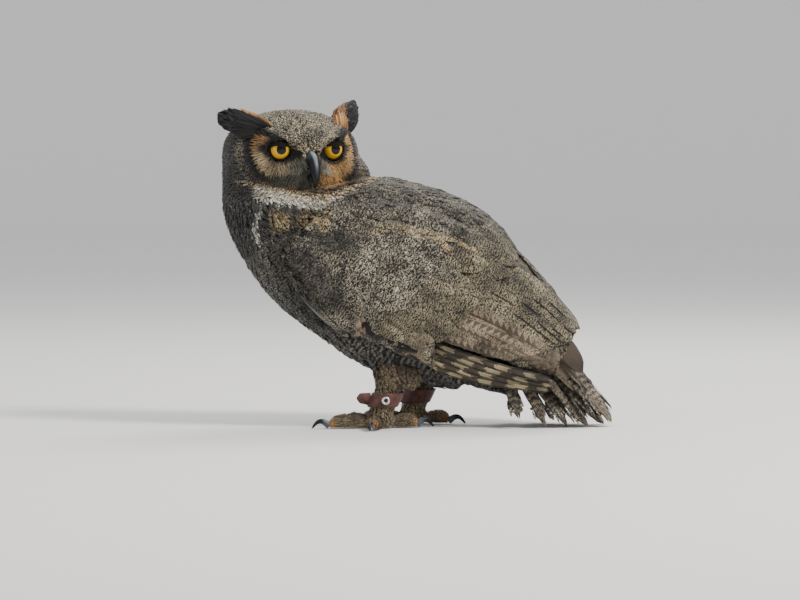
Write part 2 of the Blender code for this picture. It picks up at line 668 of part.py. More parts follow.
def build_leg(side, trunk_cutter):
    foot = FEET[side]
    inward = 0.008 if side == "left" else -0.008
    hip = foot + Vector((0.042, inward, 0.110))
    knee = foot + Vector((0.010, 0.0, KNEE_HEIGHT))
    path = [hip.lerp(knee, k / 6) for k in range(7)]
    radii = [0.0120, 0.0140, 0.0148, 0.0155, 0.0185, 0.0200, 0.0168]
    depths = [1.6, 1.9, 2.0, 2.0, 1.65, 1.35, 1.0]
    rings = tube_rings(path, radii, 14, depths, Vector((1, 0, 0)))
    rings[-1] = levelled(rings[-1], KNEE_HEIGHT + GAP)
    thigh = add_object(f"thigh_{side}", loft("thigh", rings), "plumage_buff")
    cut_with(thigh, trunk_cutter)

    ankle = foot + Vector((0.001, 0.0, ANKLE_HEIGHT))
    path = [knee.lerp(ankle, k / 3) for k in range(4)]
    path += [Vector((foot.x, foot.y, height)) for height in (0.0120, 0.0045, FLOOR)]
    radii = [0.0165, 0.0154, 0.0148, 0.0143, 0.0150, 0.0152, 0.0130]
    rings = tube_rings(path, radii, 14, 1.0, Vector((1, 0, 0)))
    rings[0] = levelled(rings[0], KNEE_HEIGHT)
    rings[-1] = levelled(rings[-1], FLOOR)
    tarsus = add_object(f"tarsus_{side}", loft("tarsus", rings), "plumage_buff")
    return knee, ankle, tarsus


def build_foot(side):
    """Four toes round a pad under the ankle, each on its own small flat."""
    foot = FEET[side]
    outward = 1 if side == "left" else -1
    for toe, (turn, length) in TOES.items():
        heading = math.pi + outward * math.radians(turn)
        ahead = Vector((math.cos(heading), math.sin(heading), 0))
        path = []
        radii = []
        for u in TOE_SHARES:
            knuckle = TOE_KNUCKLE * math.sin(2.5 * math.pi * u) ** 2
            root = TOE_ROOT_THIN * (1 - smooth(0.0, 0.4, u))
            radius = TOE_RADIUS * (1 - TOE_TAPER * u) + knuckle - root
            radius -= TOE_END_THIN * smooth(0.80, 1.0, u)
            radii.append(radius)
            path.append(foot + ahead * (TOE_START + length * u)
                        + Vector((0, 0, radius - FLAT_CUT)))
        name = f"toe_{toe}_{side}"
        rings = tube_rings(path, radii, TOE_SIDES)
        for end in (0, -1):
            run = [path[end] - ahead * GAP, path[end]]
            rings[end] = tube_rings(run, [radii[end]] * 2, TOE_SIDES)[1]
        item = add_object(name, loft(name, rings), "plumage_buff")
        cut_at_floor(item)
        size = OUTER_CLAW if toe == "outer" else 1.0
        build_claw(f"claw_{toe}_{side}", path[-1], ahead, size)


def build_claw(name, start, ahead, size):
    """A curved claw that rises from the toe and comes down to the floor."""
    reach = CLAW_LENGTH * size
    drop = start.z - CLAW_TIP_HEIGHT
    path = []
    radii = []
    for k in range(6):
        u = k / 5
        rise = CLAW_RISE * math.sin(math.pi * min(u * 1.12, 1.0)) - drop * u**2.2
        forward = CLAW_START + reach * (u - 0.16 * u**3)
        path.append(start + ahead * forward + Vector((0, 0, rise)))
        radii.append(CLAW_RADIUS * (1 - u) ** 0.75 + CLAW_POINT)
    rings = tube_rings(path, radii, 7)
    base = tube_rings([start + ahead * GAP, start + ahead * 0.001], [CLAW_RADIUS] * 2, 7)
    tip = path[-1] + ahead * 0.0010 + Vector((0, 0, -0.0008))
    add_object(name, loft(name, base[:1] + rings, last_tip=tip), "horn_slate")


def closed_ring(name, rings):
    """A closed loop over rings, the last of which meets the first."""
    shape = bmesh.new()
    rows = [[shape.verts.new(point) for point in ring] for ring in rings]
    count = len(rings[0])
    for k, low in enumerate(rows):
        high = rows[(k + 1) % len(rows)]
        for j in range(count):
            n = (j + 1) % count
            shape.faces.new((low[j], low[n], high[n], high[j]))
    return finish_mesh(name, shape)


def build_anklet(side, knee, ankle):
    """A leather band round the leg with a pointed end, and its metal eyelet."""
    outward = -1 if side == "left" else 1
    middle = knee.lerp(ankle, 0.50)
    rings = []
    for k in range(ANKLET_SIDES):
        angle = 2 * math.pi * k / ANKLET_SIDES
        out = Vector((math.cos(angle), math.sin(angle), 0))
        rings.append([middle + out * radius + Vector((ANKLET_LEAN * height, 0, height))
                      for radius, height in ANKLET_SECTION])
    band = add_object(f"anklet_{side}", closed_ring("anklet", rings), "leather")

    start = middle + ANKLET_END[0]
    end = start + Vector((ANKLET_END[1].x, outward * ANKLET_END[1].y, ANKLET_END[1].z))
    flap_path = [start.lerp(end, k / 3) for k in range(4)]
    flap_rings = tube_rings(flap_path, ANKLET_END_RADII, 8, ANKLET_END_FLAT, Vector((0, 1, 0)))
    flap = add_object(f"anklet_end_{side}", loft("flap", flap_rings), "", CUTTERS)
    cut_with(band, flap, "UNION")

    sides, around = 12, 5
    hub = middle + Vector((EYELET_PLACE[0], outward * EYELET_PLACE[1], 0.0))
    breadth, depth = EYELET_RIM
    rings = []
    for k in range(sides):
        turn = 2 * math.pi * k / sides
        out = Vector((math.cos(turn), 0, math.sin(turn)))
        bends = [2 * math.pi * j / around for j in range(around)]
        rings.append([hub + out * (EYELET_RADIUS + breadth * math.cos(bend))
                      + Vector((0, outward * depth * math.sin(bend), 0)) for bend in bends])
    add_object(f"eyelet_{side}", closed_ring("eyelet", rings), "eyelet_metal")


# ---------------------------------------------------------------- the whole bird
trunk_cutter = build_trunk()
head = build_head()
build_bill(head)
build_ear_tufts(head)
build_mantle()
for side in ("left", "right"):
    build_wing(side)
    build_primaries(side)
    knee, ankle, tarsus = build_leg(side, trunk_cutter)
    build_foot(side)
    build_anklet(side, knee, ankle)
build_tail()
build_undertail(trunk_cutter)

# The bird is moved so that the origin lies under the middle of its box.
bpy.context.view_layer.update()
lengths = [(item.matrix_world @ corner.co).x for item in OWL.objects
           for corner in item.data.vertices]
middle_x = (min(lengths) + max(lengths)) / 2
for item in list(OWL.objects) + list(CUTTERS.objects):
    item.location.x -= middle_x
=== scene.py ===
# Great horned owl, life size: skin, coat of feathers, flight feathers, eyes, bill and feet.
# Metres, +Z up. The bird faces -X, and its head is turned over its left shoulder (-Y).
import math

import bmesh
import bpy
import numpy as np
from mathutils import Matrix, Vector
from mathutils.bvhtree import BVHTree
from mathutils.kdtree import KDTree


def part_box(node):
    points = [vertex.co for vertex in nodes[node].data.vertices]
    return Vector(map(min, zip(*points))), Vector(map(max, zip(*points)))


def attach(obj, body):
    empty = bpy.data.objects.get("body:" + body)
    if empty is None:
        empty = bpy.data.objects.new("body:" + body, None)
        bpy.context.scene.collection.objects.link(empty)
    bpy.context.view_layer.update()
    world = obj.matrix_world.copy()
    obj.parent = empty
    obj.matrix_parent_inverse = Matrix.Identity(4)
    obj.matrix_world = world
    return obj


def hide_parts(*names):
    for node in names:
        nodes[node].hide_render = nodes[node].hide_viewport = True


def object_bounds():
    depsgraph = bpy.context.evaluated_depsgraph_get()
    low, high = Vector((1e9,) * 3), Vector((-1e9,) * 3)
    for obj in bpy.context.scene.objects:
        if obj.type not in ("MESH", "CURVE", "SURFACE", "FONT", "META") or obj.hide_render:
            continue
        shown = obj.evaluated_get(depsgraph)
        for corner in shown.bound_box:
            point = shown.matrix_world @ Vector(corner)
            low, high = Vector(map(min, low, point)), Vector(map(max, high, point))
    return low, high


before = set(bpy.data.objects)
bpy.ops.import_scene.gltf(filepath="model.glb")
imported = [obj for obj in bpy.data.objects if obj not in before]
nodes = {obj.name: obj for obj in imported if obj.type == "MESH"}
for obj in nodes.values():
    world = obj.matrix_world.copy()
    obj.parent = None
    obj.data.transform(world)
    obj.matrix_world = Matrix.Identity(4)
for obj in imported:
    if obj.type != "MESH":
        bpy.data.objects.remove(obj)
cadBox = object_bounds()
rng = np.random.default_rng(4)
mm = 0.001

# The bird's own directions. Side outline of neck and trunk from collar to wing tips, as
# (x, z): a front line and a back line, paired station by station.
frontLine = np.array([(-0.229, 0.262), (-0.216, 0.220), (-0.173, 0.155), (-0.113, 0.106),
                      (-0.050, 0.067), (0.016, 0.048), (0.085, 0.043), (0.150, 0.036)])
backLine = np.array([(-0.050, 0.292), (-0.042, 0.2935), (-0.016, 0.288), (0.036, 0.2735),
                     (0.085, 0.246), (0.1215, 0.2065), (0.158, 0.165), (0.188, 0.120)])
head = {
    "axis": (-0.1460, 0.0), "yaw": math.radians(21), "middle": 0.318,
    "eyeSide": 0.0325, "eyeForward": 0.0460, "eyeHeight": 0.3275, "eyeRadius": 0.0135,
    "discRadius": 0.0290, "discTall": 0.82,
    # the dark brow, bill to ear tuft: distance from the middle, and height
    "browOut": [0.0, 0.0145, 0.036, 0.060, 0.090],
    "browUp": [0.3140, 0.3255, 0.3425, 0.3545, 0.3600],
}


def unit(rows):
    return rows / np.maximum(np.linalg.norm(rows, axis=-1, keepdims=True), 1e-12)


def ease(low, high, value):
    step = np.clip((value - low) / (high - low), 0.0, 1.0)
    return step * step * (3 - 2 * step)


def ontoSurface(rows, normals):
    return unit(rows - normals * (rows * normals).sum(-1, keepdims=True))


def toHead(places):
    # distance to the head's left, forward, and height
    x = places[..., 0] - head["axis"][0]
    y = places[..., 1] - head["axis"][1]
    cosine, sine = math.cos(head["yaw"]), math.sin(head["yaw"])
    return x * cosine + y * sine, x * sine - y * cosine, places[..., 2]


def inColumns(*values):
    return np.stack(np.broadcast_arrays(*values), -1)


def headPlace(sideways, forward, height):
    # the place, or rows of places, given in the head's own directions
    cosine, sine = math.cos(head["yaw"]), math.sin(head["yaw"])
    return inColumns(head["axis"][0] + sideways * cosine + forward * sine,
                     head["axis"][1] + sideways * sine - forward * cosine, height)


def headDirections():
    # to the head's left, forward and up
    return [headPlace(*way) - headPlace(0.0, 0.0, 0.0) for way in np.eye(3)]


def alongLines(station, lines=(frontLine, backLine)):
    # what the front and the back line have at each station
    grid = np.arange(len(frontLine))
    return [np.stack([np.interp(station, grid, line[:, k]) for k in (0, 1)], 1)
            for line in lines]


def stationOf(places):
    # station along the trunk, and share of the way from front line to back line
    steps = np.linspace(0, len(frontLine) - 1, 141)
    front, back = alongLines(steps)
    chord = back - front
    flat = places[:, [0, 2]]
    station = np.zeros(len(flat))
    batch = 20000
    for start in range(0, len(flat), batch):
        offset = flat[start:start + batch, None] - front
        behind = (chord[:, 0] * offset[..., 1] - chord[:, 1] * offset[..., 0]) < 0
        station[start:start + batch] = steps[np.clip(behind.sum(1), 0, len(steps) - 1)]
    near, far = alongLines(station)
    run = far - near
    share = ((flat - near) * run).sum(1) / (run * run).sum(1)
    return station, np.clip(share, 0.0, 1.0)


formMake = {"voxel": 0.0023, "swell": 0.0006, "rounds": 8}
# how deep the skin lies under the outline of the feathers, for each kind of node
coatDepth = {"neck": 0.0045, "breast": 0.0050, "belly": 0.0050, "head": 0.0034,
             "ear_tuft": 0.0042, "mantle": 0.0036, "wing_coverts": 0.0032, "alula": 0.0022,
             "primary_coverts": 0.0016, "scapulars": 0.0034, "secondaries": 0.0018,
             "thigh": 0.0036, "tarsus": 0.0024, "toe": 0.0013, "undertail": 0.0036}
fleshNodes = sorted(name for name in nodes if name.startswith(tuple(coatDepth)))


def kindOf(name):
    return next(kind for kind in coatDepth if name.startswith(kind))


def solidShape(*meshes):
    shape = bmesh.new()
    for mesh in meshes:
        shape.from_mesh(mesh)
    return shape


def solidTree(names):
    shape = solidShape(*(nodes[name].data for name in names))
    tree = BVHTree.FromBMesh(shape)
    shape.free()
    return tree


def neighbourMean(values, edges):
    total = np.zeros_like(values)
    count = np.bincount(edges.ravel(), minlength=len(values)).astype(float)
    for a, b in ((0, 1), (1, 0)):
        for k in range(values.shape[1]):
            total[:, k] += np.bincount(edges[:, a], values[edges[:, b], k], len(values))
    return total / np.maximum(count, 1)[:, None]


def readRows(items, field, width, kind=float):
    values = np.empty(len(items) * width, kind)
    items.foreach_get(field, values)
    return values.reshape(-1, width)


def buildForm():
    # all flesh in one closed surface, at the outline of the feathers
    shape = solidShape(*(nodes[name].data for name in fleshNodes))
    bmesh.ops.remove_doubles(shape, verts=shape.verts, dist=0.00001)
    shape.normal_update()
    for vertex in shape.verts:
        vertex.co += vertex.normal * formMake["swell"]
    mesh = bpy.data.meshes.new("form")
    shape.to_mesh(mesh)
    shape.free()
    item = bpy.data.objects.new("form", mesh)
    bpy.context.scene.collection.objects.link(item)
    remesh = item.modifiers.new("remesh", "REMESH")
    remesh.mode = "VOXEL"
    remesh.voxel_size = formMake["voxel"]
    graph = bpy.context.evaluated_depsgraph_get()
    whole = bpy.data.meshes.new_from_object(item.evaluated_get(graph))
    bpy.data.objects.remove(item)

    # the largest island is kept
    shape = solidShape(whole)
    seen, largest = set(), []
    for vertex in shape.verts:
        if vertex in seen:
            continue
        island, stack = [], [vertex]
        seen.add(vertex)
        while stack:
            here = stack.pop()
            island.append(here)
            for edge in here.link_edges:
                other = edge.other_vert(here)
                if other not in seen:
                    seen.add(other)
                    stack.append(other)
        if len(island) > len(largest):
            largest = island
    keep = set(largest)
    bmesh.ops.delete(shape, geom=[v for v in shape.verts if v not in keep], context="VERTS")
    shape.to_mesh(whole)
    shape.free()

    # back to the outline, and smoothed without shrinking
    places = readRows(whole.vertices, "co", 3)
    edges = readRows(whole.edges, "vertices", 2, int)
    places -= readRows(whole.vertices, "normal", 3) * formMake["swell"]
    for _ in range(formMake["rounds"]):
        for amount in (0.5, -0.53):
            places += (neighbourMean(places, edges) - places) * amount
    whole.vertices.foreach_set("co", places.ravel())
    whole.update()
    return whole


def nodeFinder():
    places, faces, owners = [], [], []
    for index, name in enumerate(fleshNodes):
        mesh = nodes[name].data
        offset = len(places)
        places += [v.co.copy() for v in mesh.vertices]
        for polygon in mesh.polygons:
            faces.append([offset + k for k in polygon.vertices])
            owners.append(index)
    tree = BVHTree.FromPolygons(places, faces)
    owners = np.array(owners)
    return lambda rows: owners[[tree.find_nearest(row)[2] for row in rows.tolist()]]


print("form under the coat")
formMesh = buildForm()
formPlaces = readRows(formMesh.vertices, "co", 3)
formEdges = readRows(formMesh.edges, "vertices", 2, int)
formNormals = readRows(formMesh.vertices, "normal", 3)
formOwner = nodeFinder()(formPlaces)
formFaces = [tuple(polygon.vertices) for polygon in formMesh.polygons]
formTree = BVHTree.FromPolygons(formPlaces.tolist(), formFaces)
faceNormals = unit(np.array([formNormals[list(face)].mean(0) for face in formFaces]))
formDepth = np.array([coatDepth[kindOf(fleshNodes[k])] for k in formOwner])[:, None]
for _ in range(4):
    formDepth = (formDepth + neighbourMean(formDepth, formEdges)) / 2
faceDepth = np.array([formDepth[list(face)].mean() for face in formFaces])


def nearForm(rows):
    # nearest places of the form, their normals and the coat's depth there
    hits = [formTree.find_nearest(row) for row in rows.tolist()]
    index = np.array([hit[2] for hit in hits])
    return np.array([hit[0] for hit in hits]), faceNormals[index], faceDepth[index]


def tint(code):
    # a colour written as on a paint card, made linear
    values = np.array([int(code[k:k + 2], 16) / 255 for k in (1, 3, 5)])
    return np.where(values <= 0.04045, values / 12.92, ((values + 0.055) / 1.055) ** 2.4)


# the plumage's colours; the dark ones of neck, breast and belly hold some painted shade
plumage = {
    "backDark": "#151412", "backPale": "#968d7b", "rearDark": "#231f1a", "rearBrown": "#3d342a",
    "rearPale": "#93886f", "neckDark": "#161616", "neckPale": "#4b4945",
    "breastDark": "#1c1917", "breastPale": "#57544d", "bellyDark": "#0c0b0b",
    "bellyPale": "#4d4b46", "crownDark": "#1f1b18", "crownPale": "#b3a68a",
    "browBlack": "#12100f", "rufous": "#9a7044", "tawny": "#c8b08a", "rufousDark": "#786045",
    "loreGrey": "#a5a391", "rimBuff": "#7c7160", "white": "#cfcdc2", "legBuff": "#7c6b53",
    "legPale": "#9c8d72", "tuftBlack": "#131112", "alulaBuff": "#a08670",
    "orangeBuff": "#cfa163", "tailDark": "#2b251f", "tailPale": "#6e6352", "tailTip": "#bdb6a6",
    "quillCream": "#8b8064", "toeSkin": "#c98f4e", "smoothBrown": "#5a4d40",
    "throatOrange": "#ab9770", "chinGrey": "#4d4a40", "shadeDark": "#1d1b1b",
    "toothBrown": "#4d3f31", "toothPale": "#8f8470", "edgeGrey": "#8f908f"}
plumage = {name: tint(code) for name, code in plumage.items()}

# middle of each foot, and each toe's turn from straight ahead and reach, as in the solids
feet = {"left": (-0.0413, -0.042), "right": (-0.0033, 0.042)}
toes = {"hallux": (-165, 0.0438), "inner": (-36, 0.0508), "middle": (12, 0.0608),
        "outer": (80, 0.0528)}
toeTipHeight = 0.006


def toeRays():
    # each toe's side and name, the way it points, and its end on the floor
    for side, (x, y) in feet.items():
        outward = 1 if side == "left" else -1
        for toe, (turn, reach) in toes.items():
            heading = math.pi + outward * math.radians(turn)
            ahead = np.array([math.cos(heading), math.sin(heading), 0.0])
            yield side, toe, ahead, np.array([x, y, 0.0]) + ahead * reach


def clawDistance(places):
    tips = np.array([end + (0, 0, toeTipHeight) for _side, _toe, _ahead, end in toeRays()])
    return np.linalg.norm(places[:, None, :] - tips[None], axis=2).min(1)


def blend(base, other, weight):
    return base + (other - base) * np.clip(weight, 0, 1)[:, None]


def colourOf(entry):
    # a name of the plumage, a name with a factor, or the colours themselves
    if isinstance(entry, str):
        return plumage[entry]
    return plumage[entry[0]] * entry[1] if isinstance(entry, tuple) else entry


def brush(ground, mark, pattern):
    # lays colours, and a coverage of marks, over the rows of a part of the bird
    def paint(weight, dark=None, pale=None, amount=None):
        if dark is not None:
            ground[:] = blend(ground, colourOf(dark), weight)
        if pale is not None:
            mark[:] = blend(mark, colourOf(pale), weight)
        if amount is not None:
            pattern[:, 0] += (amount - pattern[:, 0]) * weight
    return paint


def bibLine(s, middle=0.2770):
    # the dark v between chin and bib: its height, in the head's directions
    return middle + 0.22 * np.abs(s - 0.005)


def bibWeight(s, f, h):
    # the white bib under the face, narrower to the sides
    vee = bibLine(s)
    deep = np.interp(s, [-0.06, 0.0, 0.03, 0.07], [0.0250, 0.0225, 0.0190, 0.0150])
    weight = ease(0.012, 0.030, f) * ease(-0.0045, -0.0060, h - vee)
    weight *= ease(-deep + 0.001, -deep + 0.004, h - vee)
    return weight * ease(-0.062, -0.054, s) * ease(0.078, 0.066, s)


def streakWeight(x, y, z):
    # a thin white streak down the side of the throat
    line = np.interp(z, [0.215, 0.235, 0.262], [-0.184, -0.1905, -0.1815])
    weight = ease(0.0042, 0.0020, np.abs(x - line)) * ease(0.214, 0.226, z)
    return weight * ease(0.272, 0.264, z) * (y < 0)


def faceRings(s, h):
    # how far each place is out from the eye's middle and above it, the disc's rings and the brow
    out, rise = np.abs(s) - head["eyeSide"], h - head["eyeHeight"]
    ring = np.hypot(out, rise * np.where(rise < 0, head["discTall"], 1.0))
    return out, rise, ring, np.interp(np.abs(s), head["browOut"], head["browUp"])


def headMarks(places, ground, mark, pattern):
    s, f, h = toHead(places)
    paint = brush(ground, mark, pattern)
    eyeOut, rise, ring, brow = faceRings(s, h)
    face = ease(0.010, 0.024, f)
    soft = 0.001 + 0.014 * ease(0.012, -0.020, f)
    below = ease(0.001, -0.002, h - brow)
    speckle = np.random.default_rng(7).random(len(s))
    edge = head["discRadius"]
    disc = face * below * ease(edge + 0.002, edge - 0.001, ring)
    rim = face * below * ease(edge - 0.001, edge + 0.001, ring)
    rim *= ease(edge + 0.0075, edge + 0.0055, ring) * ease(0.020, 0.034, np.abs(s))
    band = face * below * ease(edge + 0.0055, edge + 0.0075, ring)
    band *= ease(edge + 0.017, edge + 0.013, ring) * ease(0.036, 0.046, np.abs(s))
    nape = np.maximum(ease(0.03, -0.01, s), ease(0.010, -0.020, f)) * ease(0.250, 0.272, h)
    paint(nape, ("neckDark", 1.15), ("neckPale", 1.2), 0.40)
    crown = ease(-soft, 2 * soft, h - brow)
    paint(crown, "crownDark", "crownPale", 0.35)
    middle = crown * ease(0.006, 0.002, np.abs(s)) * ease(0.0, 0.03, f)
    paint(middle * 0.5, "browBlack", ("crownPale", 0.6))
    paint(band, "neckDark", "rimBuff", 0.55)
    paint(disc, "rufousDark", "tawny", 0.92)
    paint(rim, "browBlack", "neckDark", 0.2)
    # brightest rufous at the top and outer side, paler below
    outer = disc * ease(0.006, 0.020, 0.6 * eyeOut + rise)
    paint(outer * 0.9, ("rufousDark", 0.9), "rufous")
    lower = disc * ease(-0.010, -0.026, rise)
    paint(lower * 0.5, "rufousDark", ("rimBuff", 1.15))
    # more orange-buff on one side of the disc only: painted light on that side
    litSideOchre = disc * ease(0.0, 0.03, s)
    paint(litSideOchre * 0.85, "rufousDark", "orangeBuff")
    # grey lores, paler on one side and darker on the other as painted light and shade
    inner = disc * ease(0.000, -0.012, eyeOut) * ease(0.334, 0.322, h)
    lit = ease(-0.02, 0.02, s)[:, None]
    paint(inner, ("loreGrey", 0.30), plumage["loreGrey"] * (0.42 + 0.65 * lit), 0.62)
    # dark round the eye, partly its own colour and partly painted shade under the brow, drawn out
    # to the bill and to a point behind
    base = face * np.exp(-(s / 0.010) ** 2 - ((h - 0.3215) / 0.0055) ** 2)
    paint(base * 0.9, ("rimBuff", 0.7), ("tawny", 1.1), 0.7)
    nearEye = disc * ease(0.0185, 0.0150, np.hypot(eyeOut * 0.90, rise * 1.06))
    innerShade = disc * ease(0.002, -0.004, eyeOut) * ease(0.3200, 0.3265, h)
    behind = disc * ease(0.0050, 0.0025, np.abs(rise - 0.001)) * ease(0.026, 0.020, eyeOut)
    behind *= ease(0.0, 0.010, eyeOut)
    dark = np.maximum(np.maximum(nearEye, innerShade), behind)
    paint(dark, "browBlack", ("browBlack", 1.8))
    pale = face * np.exp(-((eyeOut - 0.0085) / 0.0060) ** 2
                         - ((rise - 0.0165 - 0.35 * (eyeOut - 0.0085)) / 0.0026) ** 2)
    paint(pale * 0.9, ("loreGrey", 0.6), ("loreGrey", 1.1), 0.8)
    line = ease(0.0074, 0.0044, np.abs(h - brow + 0.0022)) * ease(0.009, 0.015, np.abs(s))
    line *= ease(0.000, 0.012, f)
    paint(line, "browBlack", ("browBlack", 1.4))
    lash = face * ease(0.0018, 0.0008, np.abs(h - brow - 0.0022)) * ease(0.045, 0.030, np.abs(s))
    paint(lash * 0.6, "crownDark", ("crownPale", 1.05), 0.75)

    # under the bill: grey chin, a dark v, a mottled buff ring and the white bib below it
    vee = bibLine(s)
    front = ease(0.012, 0.030, f)
    chin = front * ease(0.050, 0.040, np.abs(s)) * ease(0.302, 0.296, h)
    chin *= ease(-0.001, 0.001, h - vee)
    paint(chin, ("chinGrey", 0.5), ("chinGrey", 1.3), 0.6)
    warm = chin * ease(0.000, 0.014, s)
    paint(warm, ("rufousDark", 0.9), ("orangeBuff", 0.9), 0.6)
    crease = front * ease(0.0026, 0.0012, np.abs(h - vee - 0.0005)) * ease(0.062, 0.050, np.abs(s))
    paint(crease, "browBlack", "rufousDark", 0.3)
    ringed = front * ease(0.0, -0.0015, h - vee) * ease(-0.0075, -0.0055, h - vee)
    paint(ringed, ("neckDark", 1.3), "tawny", 0.58)
    bib = bibWeight(s, f, h)
    paint(bib, ("rimBuff", 0.9), ("white", 0.95), 0.85)
    cream = bib * ease(0.35, 0.75, speckle) * ease(-0.0185, -0.0080, h - vee)
    paint(cream * 0.8, ("rimBuff", 0.7), ("tawny", 1.15), 0.80)
    mottled = bib * ease(0.30, 0.70, speckle) * (0.25 + 0.75 * ease(0.004, 0.030, s))
    paint(mottled * 0.65, ("neckDark", 1.8), ("rimBuff", 1.5), 0.66)


# lines of painted black shadow in the gaps of the folded wing, in the side view, and their half
# width
wingGapShadows = ((((-0.066, 0.1265), (-0.022, 0.1030), (-0.006, 0.0930)), 0.0062),
            (((0.010, 0.1130), (0.087, 0.0780), (0.130, 0.0700)), 0.0070))
# the buff line along the lower edge of the shoulder feathers, in the side view
shoulderEdge = np.array([(-0.070, 0.2400), (-0.030, 0.2390), (0.020, 0.2277), (0.065, 0.2110)])
# soft spots in the side view: middle, half width and height, where each ends and is full
softSpots = {"shadeBehindBib": ((-0.075, 0.255), (0.055, 0.045), (1.2, 0.4)),
             "hollowShade": ((-0.138, 0.185), (0.030, 0.060), (1.45, 0.4)),
             "hollowShadeTop": ((-0.106, 0.222), (0.032, 0.020), (1.3, 0.4)),
             "throat": ((-0.161, 0.248), (0.015, 0.016), (1.15, 0.5)),
             "throatBack": ((-0.124, 0.248), (0.020, 0.015), (1.15, 0.5))}


def spotWeight(label, x, z):
    middle, half, fade = softSpots[label]
    return ease(*fade, np.hypot((x - middle[0]) / half[0], (z - middle[1]) / half[1]))


def markings(places, kinds):
    # ground colour, marking colour and pattern (coverage, barring, phase) at each place
    count = len(places)
    ground = np.tile(plumage["backDark"], (count, 1))
    mark = np.tile(plumage["backPale"], (count, 1))
    pattern = np.tile([0.34, 0.0, 0.0], (count, 1))
    paint = brush(ground, mark, pattern)
    station, share = stationOf(places)
    x, y, z = places.T
    rear = ease(3.2, 5.2, station)
    paint(rear * 0.6, "rearDark", "rearPale")
    pattern[:, 0] += 0.04 * rear
    # painted shade on top of the back and wing: the pale marks dimmed against the light from above
    upper = np.isin(kinds, ["mantle", "scapulars", "secondaries"]) * ease(0.70, 0.92, share)
    paint(upper, None, mark * 0.58)
    # painted shade on the mantle behind the bib: its pale marks dimmed and fewer
    behind = spotWeight("shadeBehindBib", x, z)
    behind *= np.isin(kinds, ["mantle", "scapulars", "wing_coverts"])
    paint(behind, None, mark * 0.70)
    pattern[:, 0] -= 0.06 * behind

    # neck and breast are dark, the belly is barred, and legs and toes are buff; the dark of neck,
    # breast, belly and thighs is partly their own colour and partly painted shade
    trunk = np.isin(kinds, ["neck", "breast", "belly"])
    front = np.where(trunk | (kinds == "head"), ease(0.75, 0.55, share), 0.0)
    paint(front * ease(2.6, 0.6, station), "neckDark", "neckPale")
    chest = np.where(trunk, ease(1.2, 2.2, station) * ease(4.0, 3.2, station), 0.0)
    paint(chest, "breastDark", "breastPale", 0.31)
    pattern[:, 1] += chest * 0.7
    low = np.where(np.isin(kinds, ["belly", "undertail"]), ease(3.2, 3.9, station), 0.0)
    paint(low, "bellyDark", "bellyPale", 0.42)
    pattern[:, 1] += (1.0 - pattern[:, 1]) * low
    leg = np.isin(kinds, ["tarsus", "toe"]).astype(float)
    paint((kinds == "thigh").astype(float), ("legBuff", 0.30), ("legBuff", 0.85))
    paint(leg, ("legBuff", 0.55), "legPale", 0.6)
    pattern[:, 1] *= 1 - leg
    pads = ease(0.011, 0.006, clawDistance(places)) * (kinds == "toe")
    paint(pads, ("toeSkin", 0.8), "toeSkin")
    thumb = kinds == "alula"
    paint(thumb * ease(-0.080, -0.070, x), ("alulaBuff", 0.8), "alulaBuff")
    paint(thumb * ease(-0.112, -0.125, x), "backDark")

    # a buff line runs along the lower edge of the shoulder feathers, with shade below
    drop = z - np.interp(x, *shoulderEdge.T)
    along = ease(-0.085, -0.045, x) * ease(0.078, 0.066, x)
    along *= np.isin(kinds, ["scapulars", "wing_coverts", "mantle"])
    shoulder = ease(0.0060, 0.0028, np.abs(drop)) * along
    paint(shoulder * 0.8, None, ("legPale", 1.1))
    paint(shoulder * ease(0.015, 0.045, x), None, ("orangeBuff", 1.15))
    pattern[:, 0] += 0.24 * shoulder
    under = ease(-0.004, -0.008, drop) * ease(-0.030, -0.016, drop) * along
    paint(under * 0.6, "shadeDark")
    pattern[:, 0] -= 0.07 * under

    # painted shade in the hollow of the shoulder, orange-buff mottling under the throat, a thin
    # white streak
    hollowShade = np.maximum(spotWeight("hollowShade", x - 0.5 * (0.20 - z), z),
                        spotWeight("hollowShadeTop", x, z))
    pattern[:, 0] -= 0.12 * hollowShade
    paint(hollowShade * 0.8, "shadeDark")
    paint(hollowShade, None, mark * 0.42)
    for label in ("throat", "throatBack"):
        throat = spotWeight(label, x, z) * (y < 0) * (kinds != "head")
        paint(throat, None, ("throatOrange", 1.15))
        pattern[:, 0] += 0.26 * throat
    paint(streakWeight(x, y, z) * trunk, ("white", 0.35), "white")
    # painted black shadow in the gaps behind the thumb feathers, and between the arm's and the
    # hand's quills
    for line, wide in wingGapShadows:
        across, heights = np.array(line).T
        gapShadow = ease(wide, wide * 0.5, np.abs(z - np.interp(x, across, heights)))
        gapShadow *= ease(across[0] - 0.006, across[0], x) * ease(across[-1] + 0.006, across[-1], x)
        paint(gapShadow * (np.abs(y) > 0.02), ("browBlack", 0.5), "browBlack")
    # the hidden under side and the place below the wing's last feathers are smooth brown
    plain = (kinds == "secondaries") * ease(0.118, 0.135, x + 0.9 * (z - 0.075))
    paint(plain * ease(0.100, 0.088, z), "smoothBrown", ("tailPale", 0.9))

    onHead = np.isin(kinds, ["head", "neck", "ear_tuft"])
    parts = [ground[onHead], mark[onHead], pattern[onHead]]
    headMarks(places[onHead], *parts)
    ground[onHead], mark[onHead], pattern[onHead] = parts
    # ear tufts are black, with a rufous inner edge
    tuft = kinds == "ear_tuft"
    ground[tuft] = plumage["tuftBlack"]
    mark[tuft] = plumage["tuftBlack"] * 1.6
    s, _f, h = toHead(places)
    inner = np.where(s > 0, ease(0.061, 0.053, s - 0.35 * (h - 0.365)),
                     ease(-0.002, 0.002, h - 0.362 + 0.30 * (s + 0.045))
                     * ease(-0.076, -0.066, s))
    paint(inner * tuft, ("rufousDark", 0.6), "rufous")
    pattern[:, 0] += 0.16 * inner * tuft
    return ground, mark, pattern


